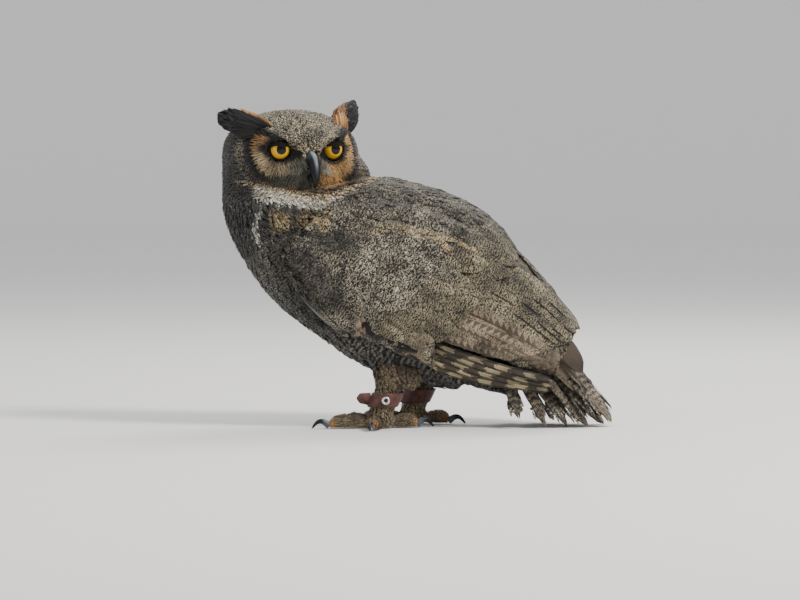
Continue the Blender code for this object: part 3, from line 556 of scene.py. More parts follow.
# what a material of feathers may change, and its usual values; lengths in millimetres
featherUsual = {"wormLength": 2.3, "barLength": 3.2, "barBend": 0.35, "fringe": 0.5,
                "darkEdge": 0.0, "rootShade": 0.5, "barbStrength": 0.35, "edgeBars": 0.0}


def newGroup(name, inputs, outputs):
    group = bpy.data.node_groups.new(name, "ShaderNodeTree")
    for label, kind, value in inputs:
        socket = group.interface.new_socket(label, in_out="INPUT", socket_type=f"NodeSocket{kind}")
        if value is not None:
            socket.default_value = value
    for label, kind in outputs:
        group.interface.new_socket(label, in_out="OUTPUT", socket_type=f"NodeSocket{kind}")
    return group, group.nodes.new("NodeGroupInput"), group.nodes.new("NodeGroupOutput")


def newNode(tree, kind, values, **settings):
    # a node with its settings made, and its inputs linked or set
    node = tree.nodes.new(f"ShaderNode{kind}")
    for name, setting in settings.items():
        setattr(node, name, setting)
    for key, value in (values if isinstance(values, dict) else dict(enumerate(values))).items():
        if isinstance(value, bpy.types.NodeSocket):
            tree.links.new(value, node.inputs[key])
        elif isinstance(value, (tuple, np.ndarray)):
            node.inputs[key].default_value = (*[float(v) for v in value[:3]], 1.0)
        else:
            node.inputs[key].default_value = value
    return node


def mathNode(tree, operation, *values, clamp=False):
    return newNode(tree, "Math", values, operation=operation, use_clamp=clamp).outputs[0]


def times(tree, a, b, clamp=False):
    return mathNode(tree, "MULTIPLY", a, b, clamp=clamp)


def plus(tree, a, b):
    return mathNode(tree, "ADD", a, b)


def minus(tree, a, b):
    return mathNode(tree, "SUBTRACT", a, b)


def timesPlus(tree, value, factor, more, clamp=False):
    return mathNode(tree, "MULTIPLY_ADD", value, factor, more, clamp=clamp)


def larger(tree, a, b):
    return mathNode(tree, "MAXIMUM", a, b)


def mixNode(tree, weight, a, b, blendType="MIX"):
    return newNode(tree, "Mix", {0: weight, 6: a, 7: b}, data_type="RGBA",
                   blend_type=blendType).outputs[2]


def stepNode(tree, value, low, high, outLow=0.0, outHigh=1.0):
    return newNode(tree, "MapRange", (value, low, high, outLow, outHigh),
                   interpolation_type="SMOOTHSTEP").outputs[0]


def noiseNode(tree, vector, scale, detail=2.0, roughness=0.5):
    return newNode(tree, "TexNoise", {"Vector": vector, "Scale": scale, "Detail": detail,
                                      "Roughness": roughness}).outputs["Fac"]


def combineNode(tree, x, y, z):
    return newNode(tree, "CombineXYZ", (x, y, z)).outputs[0]


def splitNode(tree, vector):
    return newNode(tree, "SeparateXYZ", (vector,)).outputs


def attributeNode(tree, name, output="Vector"):
    return newNode(tree, "Attribute", (), attribute_name=name).outputs[output]


def objectPlace(tree):
    return newNode(tree, "TexCoord", ()).outputs["Object"]


def bumpInto(tree, shader, height, strength, distance):
    bump = newNode(tree, "Bump", {"Strength": strength, "Distance": distance, "Height": height})
    tree.links.new(bump.outputs[0], shader.inputs["Normal"])


def newMaterial(name, values):
    material = bpy.data.materials.new(name)
    material.use_nodes = True
    shader = material.node_tree.nodes["Principled BSDF"]
    for label, value in values.items():
        shader.inputs[label].default_value = value
    return material, material.node_tree, shader


def makeFeatherGroup():
    # Wavy pale marks or bars on each vane, with barbs. Vane holds the distance across
    # and along the feather in millimetres, and the feather's own number.
    group, source, sink = newGroup(
        "featherMarks",
        [(label, "Vector", None) for label in ("vane", "part", "place", "pattern")]
        + [(label, "Color", None) for label in ("ground", "mark")]
        + [(label, "Float", value) for label, value in featherUsual.items()],
        [("colour", "Color"), ("height", "Float"), ("roughness", "Float")])
    given = source.outputs
    across, along, seed = splitNode(group, given["vane"])
    amount, barring, phase = splitNode(group, given["pattern"])
    outward, forward, _ = splitNode(group, given["part"])
    halfAcross = mathNode(group, "ABSOLUTE", across)
    number = times(group, seed, 61.0)
    spot = combineNode(group, across, along, number)
    sway = noiseNode(group, spot, 0.30, 2.0)
    crumb = combineNode(group, times(group, across, 0.8), along, number)
    crumb = noiseNode(group, crumb, 0.75, 2.0, 0.6)
    # pale lines across the vane: short and wavy, or long and even as bars
    longer = minus(group, given["barLength"], given["wormLength"])
    length = timesPlus(group, barring, longer, given["wormLength"])
    bend = times(group, given["barBend"], barring)
    turns = mathNode(group, "DIVIDE", timesPlus(group, halfAcross, bend, along), length)
    wander = timesPlus(group, barring, -2.3, 2.8)
    turns = plus(group, timesPlus(group, sway, wander, turns), phase)
    wave = mathNode(group, "SINE", times(group, turns, 2 * math.pi))
    breaks = timesPlus(group, barring, -5.0, 6.0)
    wave = timesPlus(group, minus(group, crumb, 0.5), breaks, wave)
    patch = noiseNode(group, given["place"], 38.0, 2.5)
    spread = timesPlus(group, minus(group, patch, 0.5), 0.5, amount)
    level = timesPlus(group, spread, -2.0, 1.0)
    mask = stepNode(group, wave, minus(group, level, 0.28), plus(group, level, 0.28))
    # dark triangles that widen towards the edges, on a plain pale ground
    beat = plus(group, mathNode(group, "DIVIDE", along, given["barLength"]), phase)
    beat = mathNode(group, "FRACT", timesPlus(group, sway, 0.5, beat))
    saw = timesPlus(group, beat, 0.66, 0.22)
    wedge = stepNode(group, minus(group, outward, saw), -0.04, 0.12)
    wedge = times(group, wedge, stepNode(group, outward, 0.90, 0.96, 1.0, 0.3))
    fade = timesPlus(group, barring, -3.5, 1.0, clamp=True)
    fade = times(group, fade, given["edgeBars"])
    fade = times(group, fade, stepNode(group, forward, 0.80, 0.93, 1.0, 0.0))
    plain = times(group, fade, stepNode(group, outward, 0.30, 0.46, 0.0, 0.5))
    mask = times(group, larger(group, mask, plain),
                 minus(group, 1.0, times(group, wedge, fade)))
    # a pale fringe round the tip inside which the vane is darker
    rim = larger(group, stepNode(group, outward, 0.80, 1.0), stepNode(group, forward, 0.90, 0.97))
    rim = times(group, rim, stepNode(group, forward, 0.55, 0.85))
    mask = larger(group, mask, times(group, rim, given["fringe"]))
    colour = mixNode(group, mask, given["ground"], given["mark"])
    # each feather a little lighter or darker, and patches of the coat as well
    tone = times(group, timesPlus(group, seed, 0.56, 0.70), times(group, patch, 2.0))
    root = minus(group, 1.0, stepNode(group, forward, 0.35, 0.78))
    tone = times(group, tone, minus(group, 1.0, times(group, root, given["rootShade"])))
    within = minus(group, stepNode(group, forward, 0.74, 0.84), stepNode(group, forward, 0.86, 1.0))
    within = times(group, within, given["fringe"], clamp=True)
    tone = times(group, tone, timesPlus(group, within, -0.4, 1.0))
    # a dark border along the vane's edges: partly its own colour and partly painted shadow of the
    # overlap
    begin = timesPlus(group, given["darkEdge"], -0.5, 0.95)
    border = stepNode(group, outward, begin, plus(group, begin, 0.10))
    border = times(group, border, times(group, given["darkEdge"], 5.0, clamp=True))
    tone = times(group, tone, minus(group, 1.0, times(group, border, 0.78)))
    # barbs slant towards the tip on both sides of the shaft
    slant = timesPlus(group, halfAcross, -1.3, along)
    wobble = timesPlus(group, noiseNode(group, spot, 0.8, 1.0), 1.6, slant)
    barb = mathNode(group, "SINE", times(group, wobble, 2 * math.pi / 0.55))
    barb = timesPlus(group, barb, 0.5, 0.5)
    shade = timesPlus(group, minus(group, barb, 0.5), given["barbStrength"], 1.0)
    shaft = stepNode(group, halfAcross, 0.05, 0.22, 0.72, 1.0)
    tone = times(group, times(group, tone, shade), shaft)
    toned = mixNode(group, 1.0, colour, combineNode(group, tone, tone, tone), "MULTIPLY")
    group.links.new(toned, sink.inputs["colour"])
    group.links.new(barb, sink.inputs["height"])
    group.links.new(timesPlus(group, barb, -0.12, 0.74), sink.inputs["roughness"])
    return group


featherGroup = makeFeatherGroup()


def featherMaterial(name, spec):
    material, tree, shader = newMaterial(name, {
        "Sheen Weight": 0.10, "Sheen Roughness": 0.45, "Specular IOR Level": 0.30})
    use = tree.nodes.new("ShaderNodeGroup")
    use.node_tree = featherGroup
    for label in ("vane", "part", "pattern"):
        tree.links.new(attributeNode(tree, label), use.inputs[label])
    for label in ("ground", "mark"):
        tree.links.new(attributeNode(tree, label, "Color"), use.inputs[label])
    tree.links.new(objectPlace(tree), use.inputs["place"])
    for key, usual in featherUsual.items():
        use.inputs[key].default_value = spec.get(key, usual)
    tree.links.new(use.outputs["colour"], shader.inputs["Base Color"])
    tree.links.new(use.outputs["roughness"], shader.inputs["Roughness"])
    bumpInto(tree, shader, use.outputs["height"], 0.35, 0.0003)
    return material


def fastMesh(name, places, faces):
    # faces is a list of index arrays, each of one corner count
    mesh = bpy.data.meshes.new(name)
    mesh.vertices.add(len(places))
    mesh.vertices.foreach_set("co", np.ascontiguousarray(places, np.float32).ravel())
    loops = np.concatenate([rows.ravel() for rows in faces])
    sizes = np.concatenate([np.full(len(rows), rows.shape[1]) for rows in faces])
    starts = np.concatenate([[0], np.cumsum(sizes)[:-1]])
    mesh.loops.add(len(loops))
    mesh.loops.foreach_set("vertex_index", loops.astype(np.int32))
    mesh.polygons.add(len(sizes))
    mesh.polygons.foreach_set("loop_start", starts.astype(np.int32))
    mesh.update(calc_edges=True)
    mesh.shade_smooth()
    return mesh


def gridMesh(name, rows):
    # a mesh over rows of places, closed round each row
    index = np.arange(len(rows) * len(rows[0])).reshape(len(rows), -1)
    beside = np.roll(index, -1, axis=1)
    quads = np.stack([index[:-1], beside[:-1], beside[1:], index[1:]], -1)
    return fastMesh(name, np.concatenate(rows), [quads.reshape(-1, 4)])


def closeMesh(mesh, *others):
    # joins the others to the mesh, welds it, fills its open ends and turns its faces outwards
    shape = solidShape(mesh, *others)
    bmesh.ops.remove_doubles(shape, verts=shape.verts, dist=0.000005)
    bmesh.ops.holes_fill(shape, edges=[e for e in shape.edges if e.is_boundary])
    bmesh.ops.recalc_face_normals(shape, faces=shape.faces)
    shape.to_mesh(mesh)
    shape.free()
    mesh.shade_smooth()


def turnsOf(count):
    return np.arange(count) * 2 * math.pi / count


def setAttribute(mesh, name, kind, rows):
    layer = mesh.attributes.new(name, kind, "POINT")
    field = "color" if kind == "FLOAT_COLOR" else "vector"
    layer.data.foreach_set(field, np.ascontiguousarray(rows, np.float32).ravel())


def setColour(mesh, name, rows):
    setAttribute(mesh, name, "FLOAT_COLOR", np.concatenate([rows, np.ones((len(rows), 1))], 1))


def addPiece(name, mesh, material, replaced=()):
    item = bpy.data.objects.new(name, mesh)
    bpy.context.scene.collection.objects.link(item)
    mesh.materials.append(material)
    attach(item, "root")
    if replaced:
        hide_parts(*replaced)
    return item


def traceSpines(roots, heading, lengths, steps):
    # paths that follow the form's surface, each starting at its root
    here, normal, depth = nearForm(roots)
    ahead = ontoSurface(heading, normal)
    spines = {"place": [here], "normal": [normal], "ahead": [ahead], "depth": depth}
    for _ in range(steps):
        there, nextNormal, _depth = nearForm(here + ahead * (lengths / steps)[:, None])
        ahead = ontoSurface(ontoSurface(there - here, normal) + ahead * 0.5, nextNormal)
        here, normal = there, nextNormal
        spines["place"].append(here)
        spines["normal"].append(normal)
        spines["ahead"].append(ahead)
    for key in ("place", "normal", "ahead"):
        spines[key] = np.array(spines[key])
    return spines


# across positions of a vane's corners: the top from edge to edge, then one below
vaneSections = {"slim": [-1.0, 0.0, 1.0], "broad": [-1.0, -0.55, 0.0, 0.55, 1.0],
                "quill": [-1.0, -0.8, -0.55, -0.3, -0.06, 0.0, 0.06, 0.3, 0.55, 0.8, 1.0]}
# shares of a vane's length: its round tip, how wide it starts, and unevenness of its edges;
# thickness of the sheet, height of the shaft, and depth of the root for the coat's depth
vaneUsual = {"section": "quill", "thick": 0.0004, "shaft": 0.00045, "tip": 0.35, "base": 0.4,
             "ragged": 0.10, "slide": 0.6, "twist": 0.10, "fray": 0.0, "rootDepth": 0.9}
boxLow, boxHigh = np.array(cadBox[0]) + 0.0005, np.array(cadBox[1]) - 0.0003


def vaneOutline(u, tip, base):
    # half width along a vane, narrow at the root and rounded at the tip
    rise = base + (1 - base) * np.sin(np.clip(u / 0.55, 0, 1) * math.pi / 2)
    fall = np.sqrt(np.clip(1 - np.clip((u - (1 - tip)) / tip, 0, 1) ** 2.2, 0, 1))
    return rise * np.maximum(fall, 0.10)


def layVanes(spec, spines, lengths, widths, lifts, seeds):
    # closed thin vanes along spines over a surface
    spec = {**vaneUsual, **spec}
    steps = len(spines["place"]) - 1
    count = len(lengths)
    columns = vaneSections[spec["section"]]
    quill = spec["section"] == "quill"
    side = unit(np.cross(spines["ahead"], spines["normal"]))
    corners = len(columns) + 1
    shape = (steps + 1, corners, count)
    vanes = {key: np.empty((*shape, 3)) for key in ("place", "vane", "part")}
    twist = rng.normal(0, spec["twist"], count)
    flutter = rng.normal(0, spec["ragged"], shape)
    fray = np.abs(rng.normal(0, spec["fray"], (corners, count))) * lengths
    depth = spines["depth"] * spec["rootDepth"]
    for k in range(steps + 1):
        u = k / steps
        half = vaneOutline(u, spec["tip"], spec["base"]) * widths / 2
        height = -depth * (1 - u) ** 1.6 + lifts * ease(0.1, 1.0, np.full(count, u))
        for c in range(corners):
            below = c == len(columns)
            v = 0.0 if below else columns[c]
            edge = abs(v) == 1
            offset = v * half * (1 + (flutter[k, c] if edge else 0.0))
            slide = flutter[k, c] * spec["slide"] * widths if edge and k else 0.0
            slide = slide - fray[c] * max(u - 0.75, 0) / 0.25
            crown = spec["camber"] * half * (1 - v * v)
            if quill and abs(v) < 0.04 and not below:
                crown = crown + spec["shaft"] * (1 - 0.7 * u)
            if below:
                crown = crown * 0.9 - spec["thick"]
            place = spines["place"][k]
            rise = height + crown + offset * twist
            for way, amount in ((side[k], offset), (spines["normal"][k], rise),
                                (spines["ahead"][k], slide)):
                place = place + way * (amount + np.zeros(count))[:, None]
            vanes["place"][k, c] = np.clip(place, boxLow, boxHigh)
            vanes["vane"][k, c] = np.stack([v * half / mm, u * lengths / mm, seeds], 1)
            vanes["part"][k, c] = (abs(v), u, v)
    index = np.arange((steps + 1) * corners * count).reshape(shape)
    beside = np.roll(index, -1, axis=1)
    quads = np.stack([index[:-1], beside[:-1], beside[1:], index[1:]], -1).reshape(-1, 4)
    vanes["faces"] = [quads, np.concatenate([index[0, ::-1].T, index[-1].T])]
    vanes["owner"] = np.tile(np.arange(count), (steps + 1) * corners)
    for key in ("place", "vane", "part"):
        vanes[key] = vanes[key].reshape(-1, 3)
    return vanes


def coatPiece(name, vanes, colours, pattern, material, replaced=(), rootUv=None):
    # colours are ground and mark, and pattern has coverage, barring and phase, for each vane
    mesh = fastMesh(name, vanes["place"], vanes["faces"])
    owner = vanes["owner"]
    count = owner.max() + 1
    for label, rows in zip(("ground", "mark"), colours):
        setColour(mesh, label, np.broadcast_to(rows, (count, 3))[owner])
    setAttribute(mesh, "pattern", "FLOAT_VECTOR", np.broadcast_to(pattern, (count, 3))[owner])
    for label in ("vane", "part"):
        setAttribute(mesh, label, "FLOAT_VECTOR", vanes[label])
    triangles = sum(len(rows) * (rows.shape[1] - 2) for rows in vanes["faces"])
    print(name, count, "vanes", triangles, "triangles")
    addPiece(name, mesh, material, replaced)
    if rootUv is None:
        bakeStrips(mesh, vanes, count)
    else:
        bakePatches(mesh, rootUv, vanes)


def cornerUv(mesh, rows):
    corner = readRows(mesh.loops, "vertex_index", 1, np.int32).ravel()
    layer = mesh.uv_layers.new(name="OFBake")
    layer.data.foreach_set("uv", rows[corner].astype(np.float32).ravel())


def bakePatches(mesh, rootUv, vanes):
    # each vane is a small patch at its root's place on the unwrapped form
    low, high = rootUv.min(0), rootUv.max(0)
    patch, rim = 0.003, 0.01
    spread = rim + (1 - 2 * rim) * (rootUv - low) / np.maximum(high - low, 1e-6)
    local = np.stack([vanes["part"][:, 2] / 2, vanes["part"][:, 1] - 0.5], 1) * patch
    cornerUv(mesh, spread[vanes["owner"]] + local)


def bakeStrips(mesh, vanes, count):
    # each long feather has an upright strip of its own
    across = (vanes["owner"] + 0.5 + 0.45 * vanes["part"][:, 2]) / count
    cornerUv(mesh, np.stack([across, 0.01 + 0.98 * vanes["part"][:, 1]], 1))


def footMiddle(places):
    # the middle of the nearer foot, on the floor
    left = (places[:, 1] < 0)[:, None]
    return np.where(left, (*feet["left"], 0.0), (*feet["right"], 0.0))


def unwrapOf(places, kind):
    # the form's own unwrap: round the trunk, the head, a leg or a foot
    if kind == "head":
        s, f, h = toHead(places)
        return np.stack([np.arctan2(s, f), h + 0.3 * np.hypot(s, f)], 1)
    if kind in ("thigh", "tarsus", "toe"):
        x, y, z = (places - footMiddle(places)).T
        return np.stack([np.arctan2(y, x), z + np.hypot(x, y)], 1)
    station, share = stationOf(places)
    return np.stack([np.where(places[:, 1] < 0, share, 2 - share), station], 1)


# The scattered coat: spacing, length, width and lift of the tip over the form, in millimetres,
# and the line that the bars of neighbouring feathers follow.
coatUsual = {"steps": 6, "section": "broad", "camber": 0.25, "thick": 0.0003, "ragged": 0.07,
             "wormLength": 2.3, "barLine": None, "fringe": 0.35, "rootShade": 0.5,
             "slot": "plumage_dark"}
coat = {
    "disc": {"spacing": 1.45, "length": 8.5, "width": 0.85, "lift": 0.55, "steps": 4,
        "section": "slim", "thick": 0.00016, "ragged": 0.12, "twist": 0.2, "wormLength": 3.0,
        "fringe": 0.0, "rootShade": 0.2, "slot": "plumage_face"},
    "crown": {"spacing": 1.75, "length": 7.0, "width": 2.2, "lift": 0.6, "steps": 4,
        "section": "slim", "camber": 0.22, "thick": 0.00018, "ragged": 0.16, "wormLength": 2.4},
    "bib": {"spacing": 1.9, "length": 12.0, "width": 2.8, "lift": 0.6, "steps": 4,
        "section": "slim", "camber": 0.15, "thick": 0.00016, "ragged": 0.14, "twist": 0.12,
        "wormLength": 4.0, "fringe": 0.0, "rootShade": 0.12},
    "cheek": {"spacing": 2.2, "length": 9.0, "width": 3.0, "lift": 0.7, "steps": 4,
        "section": "slim", "camber": 0.22, "thick": 0.0002, "ragged": 0.16, "wormLength": 2.2,
        "fringe": 0.4, "rootShade": 0.45},
    "neck": {"spacing": 2.6, "length": 13.0, "width": 4.2, "lift": 1.3, "steps": 5,
        "section": "slim", "camber": 0.2, "thick": 0.0002, "ragged": 0.15, "fringe": 0.45,
        "rootShade": 0.45},
    "breast": {"spacing": 3.8, "length": 18.0, "width": 8.0, "lift": 1.2, "steps": 5,
        "camber": 0.18, "thick": 0.00025, "ragged": 0.12, "barLength": 4.2, "barBend": -0.15,
        "barLine": (0.62, 0.0, -0.78), "fringe": 0.5, "rootShade": 0.45},
    "belly": {"spacing": 4.9, "length": 25.0, "width": 12.5, "lift": 1.4, "camber": 0.16,
        "thick": 0.00025, "ragged": 0.13, "barLength": 6.6, "barBend": -0.15,
        "barLine": (0.92, 0.0, -0.4), "fringe": 0.1, "slot": "plumage_buff"},
    "thigh": {"spacing": 2.9, "length": 12.0, "width": 5.0, "lift": 0.9, "steps": 5,
        "section": "slim", "camber": 0.2, "thick": 0.0002, "ragged": 0.15, "wormLength": 3.0,
        "barLength": 5.0, "barBend": -0.2, "barLine": (0.25, 0.0, -0.97), "fringe": 0.1,
        "slot": "plumage_buff"},
    "tuft": {"spacing": 2.0, "length": 15.0, "width": 2.4, "lift": 0.9, "steps": 5,
        "section": "slim", "camber": 0.3, "thick": 0.0002, "ragged": 0.2, "twist": 0.3,
        "wormLength": 4.0, "fringe": 0.0, "rootShade": 0.2},
    "tarsus": {"spacing": 2.1, "length": 7.0, "width": 2.4, "lift": 0.5, "steps": 4,
        "section": "slim", "thick": 0.00018, "ragged": 0.16, "wormLength": 3.5, "fringe": 0.0,
        "rootShade": 0.45, "slot": "plumage_buff"},
    "toe": {"spacing": 1.6, "length": 4.6, "width": 1.5, "lift": 0.35, "steps": 3,
        "section": "slim", "thick": 0.00015, "ragged": 0.15, "wormLength": 3.0, "fringe": 0.0,
        "rootShade": 0.45, "slot": "plumage_buff"},
    "mantle": {"spacing": 4.2, "length": 21.0, "width": 9.5, "lift": 0.55, "camber": 0.14,
        "slide": 0.35, "wormLength": 3.4, "rootShade": 0.55},
    "scapulars": {"spacing": 4.5, "length": 23.0, "width": 10.5, "lift": 0.55, "camber": 0.13,
        "slide": 0.35, "wormLength": 3.5, "rootShade": 0.55},
    "coverts": {"spacing": 4.3, "length": 18.0, "width": 9.5, "lift": 0.55, "camber": 0.14,
        "slide": 0.35, "wormLength": 3.4, "rootShade": 0.55},
    "rear": {"spacing": 5.6, "length": 26.0, "width": 12.0, "lift": 0.55, "camber": 0.12,
        "slide": 0.35, "wormLength": 3.6},
    "undertail": {"spacing": 5.0, "length": 24.0, "width": 11.0, "lift": 1.3, "steps": 5,
        "camber": 0.15, "thick": 0.00025, "ragged": 0.12, "barLength": 6.6, "barBend": -0.15,
        "barLine": (0.92, 0.0, -0.4), "fringe": 0.1, "slot": "plumage_buff"},
}
coat = {label: {**coatUsual, **row} for label, row in coat.items()}


tractKinds = {"neck": "neck", "breast": "breast", "belly": "belly", "mantle": "mantle",
              "scapulars": "scapulars", "wing_coverts": "coverts", "alula": "coverts",
              "primary_coverts": "rear", "secondaries": "rear", "thigh": "thigh",
              "tarsus": "tarsus", "toe": "toe", "undertail": "undertail", "ear_tuft": "tuft"}
headTracts = ("disc", "crown", "cheek", "bib", "tuft")


def tractOf(places, kinds):
    # which tract of the coat grows at each place
    s, f, h = toHead(places)
    _out, _rise, ring, brow = faceRings(s, h)
    tract = np.full(len(places), "cheek", dtype="<U12")
    for kind, label in tractKinds.items():
        tract[kinds == kind] = label
    onHead = kinds == "head"
    tract[onHead & (h > brow - 0.001)] = "crown"
    tract[onHead & (f > 0.018) & (h < brow) & (ring < head["discRadius"] + 0.004)] = "disc"
    tract[onHead & (f > 0.035) & (h < 0.304) & (h > bibLine(s, 0.2735))] = "disc"
    tract[(onHead | (kinds == "neck")) & (bibWeight(s, f, h) > 0.3)] = "bib"
    tract[(kinds == "neck") & (streakWeight(*places.T) > 0.3)] = "bib"
    return tract


def flowOf(places, normals, tract):
    # the way the feathers point, over the surface
    station, share = stationOf(places)
    near, far = alongLines(station, [np.gradient(line, axis=0) for line in (frontLine, backLine)])
    flow = np.zeros_like(places)
    flow[:, [0, 2]] = near + (far - near) * share[:, None]
    flow = unit(flow)
    flow[np.isin(tract, ["thigh", "tarsus"])] = (0.25, 0.0, -1.0)
    # on the head away from the bill, in the disc away from the eye, on the chin down
    s, f, h = toHead(places)
    fromBill = places - headPlace(0.0, 0.078, 0.318)
    away = unit(fromBill)
    away[:, 2] -= 0.45 * ease(0.035, 0.0, f) * ease(0.37, 0.34, h)
    onHead = np.isin(tract, ["crown", "cheek", "tuft"]) | ((tract == "bib") & (h > 0.272))
    flow[onHead] = away[onHead]
    eyes = np.array([headPlace(k * head["eyeSide"], 0.060, head["eyeHeight"]) for k in (-1, 1)])
    radial = unit(places - eyes[(s > 0).astype(int)])
    radial[:, 2] -= 0.10
    disc = tract == "disc"
    flow[disc] = radial[disc]
    chin = disc & (h < 0.304) & (np.abs(s) < 0.030)
    flow[chin] = unit(fromBill * (0.5, 0.5, 0.0) - (0.0, 0.0, 0.03))[chin]
    foot = tract == "toe"
    outward = (places - footMiddle(places)) * (1.0, 1.0, 0.0) - (0.0, 0.0, 0.004)
    flow[foot] = unit(outward)[foot]
    return ontoSurface(flow, normals)


# where no feather of the coat grows: clear of eyes and horn, and under the drawn rows
bare = {"eyeGap": 0.0012, "hardGap": 0.0011, "floor": 0.0016, "wingUnder": 0.024,
        "wingEnd": (0.118, 0.098), "bellyUnder": (0.05, 0.10, -0.25)}


def growsHere(places, normals, kinds):
    x, y, z = places.T
    endX, endZ = bare["wingEnd"]
    startX, startZ, slope = bare["bellyUnder"]
    keep = (kinds != "secondaries") | (np.abs(y) < bare["wingUnder"]) | ((z < endZ) & (x > endX))
    keep &= (kinds != "belly") | (z < startZ + slope * (x - startX))
    keep &= eyeGap(places) > bare["eyeGap"]
    keep &= (z > bare["floor"]) | (normals[:, 2] > -0.3)
    for name in [n for n in nodes if n.startswith(("bill", "claw", "anklet", "eyelet"))]:
        tree = solidTree([name])
        low, high = (np.array(corner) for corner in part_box(name))
        around = ((places > low - 0.003) & (places < high + 0.003)).all(1)
        for k in np.nonzero(around & keep)[0]:
            keep[k] = tree.find_nearest(places[k])[3] > bare["hardGap"]
    return keep


def scatterRoots():
    # evenly spaced roots, closest together where the feathers are smallest
    centres = np.array([formPlaces[list(face)].mean(0) for face in formFaces])
    middles = (formPlaces[formEdges[:, 0]] + formPlaces[formEdges[:, 1]]) / 2
    places, normals, _depth = nearForm(np.concatenate([formPlaces, centres, middles]))
    kinds = np.array([kindOf(fleshNodes[k]) for k in nodeFinder()(places)])
    keep = growsHere(places, normals, kinds)
    places, normals, kinds = places[keep], normals[keep], kinds[keep]
    tract = tractOf(places, kinds)
    radius = np.array([coat[label]["spacing"] for label in tract]) * mm
    tree = KDTree(len(places))
    for k, place in enumerate(places):
        tree.insert(place, k)
    tree.balance()
    alive = np.ones(len(places), bool)
    chosen = []
    for k in rng.permutation(len(places)):
        if not alive[k]:
            continue
        chosen.append(k)
        for _place, other, _distance in tree.find_range(places[k], radius[k]):
            alive[other] = False
    chosen = np.array(sorted(chosen))
    return places[chosen], normals[chosen], kinds[chosen], tract[chosen]


def eyeGap(places):
    # how far each place is from the nearer eyeball
    eyes = [headPlace(side * head["eyeSide"], head["eyeForward"], head["eyeHeight"])
            for side in (-1, 1)]
    return np.min([np.linalg.norm(places - eye, axis=1) for eye in eyes], 0) - head["eyeRadius"]


# how much the feathers of a tract differ, and the share of each that lies behind its root
coatSpread = {"length": 0.13, "width": 0.12, "lift": 0.5, "turn": 0.13, "shade": 0.08,
              "setBack": 0.45, "bars": 0.12, "fewest": 4}


def buildTract(label, half, pick, places, flow, ground, mark, pattern, material):
    spec = coat[label]
    count = int(pick.sum())
    places, flow, marks = places[pick], flow[pick], pattern[pick]
    spread = rng.normal(0, 1, (3, count))
    lengths = spec["length"] * mm * np.clip(1 + coatSpread["length"] * spread[0], 0.6, 1.4)
    widths = spec["width"] * mm * np.clip(1 + coatSpread["width"] * spread[1], 0.6, 1.4)
    lifts = spec["lift"] * mm * (1 + coatSpread["lift"] * spread[2])
    heading = flow + rng.normal(0, coatSpread["turn"], (count, 3))
    seeds = rng.random(count)
    setBack = lengths * coatSpread["setBack"]
    if label == "disc":
        setBack = np.minimum(setBack, np.maximum(eyeGap(places) - 0.0004, 0.0))
    roots = places - flow * setBack[:, None]
    spines = traceSpines(roots, heading, lengths, spec["steps"])
    vanes = layVanes(spec, spines, lengths, widths, lifts, seeds)
    shade = 1 + coatSpread["shade"] * rng.normal(0, 1, (count, 1))
    marks[:, 2] = seeds * 7
    if spec["barLine"]:
        travel = roots @ np.array(spec["barLine"]) / (spec["barLength"] * mm)
        marks[:, 2] = travel + coatSpread["bars"] * spread[0]
    kind = "head" if label in headTracts else label
    coatPiece(f"coat{label.capitalize()}{half}", vanes, (ground[pick] * shade, mark[pick] * shade),
              marks, material, rootUv=unwrapOf(places, kind))


def buildCoat():
    places, normals, kinds, tract = scatterRoots()
    flow = flowOf(places, normals, tract)
    left = places[:, 1] < 0
    colours = markings(places, kinds)
    for label, spec in coat.items():
        material = featherMaterial(f"{label}Feathers", spec)
        for half, onSide in (("Left", left), ("Right", ~left)):
            pick = (tract == label) & onSide
            if pick.sum() >= coatSpread["fewest"]:
                buildTract(label, half, pick, places, flow, *colours, material)


def buildSkin():
    places = formPlaces - formNormals * formDepth
    mesh = bpy.data.meshes.new("skin")
    mesh.from_pydata(places.tolist(), [], formFaces)
    mesh.shade_smooth()
    kinds = np.array([kindOf(fleshNodes[k]) for k in formOwner])
    ground, mark, pattern = markings(formPlaces, kinds)
    setColour(mesh, "ground", ground * 0.8)
    setColour(mesh, "mark", mark * 0.7)
    station, share = stationOf(formPlaces)
    vane = np.stack([share * 160 + places[:, 1] * 300, station * 50, np.full(len(places), 0.5)], 1)
    part = np.full((len(places), 3), 0.6)
    for label, rows in (("pattern", pattern), ("vane", vane), ("part", part)):
        setAttribute(mesh, label, "FLOAT_VECTOR", rows)
    addPiece("skin", mesh, featherMaterial("skinDown", {"barbStrength": 0.1}),
             fleshNodes)


def curveRows(points, shares):
    # places along a polyline of any dimension, by share of its length
    points = np.asarray(points, float)
    runs = np.concatenate([[0], np.cumsum(np.linalg.norm(np.diff(points, axis=0), axis=1))])
    runs /= runs[-1]
    return np.stack([np.interp(shares, runs, points[:, k]) for k in range(points.shape[1])], 1)


wingBeside = 0.055      # about how far the wing lies out from the middle


def castOnto(tree, x, z, sign):
    # the place and facing of a surface seen from the bird's side, or none
    place, normal, face, _distance = tree.ray_cast((x, sign * 0.4, z), (0, -sign, 0))
    if place is None or place.y * sign < 0.004:
        return None
    return tuple(place), tuple(faceNormals[face] if tree is formTree else normal)


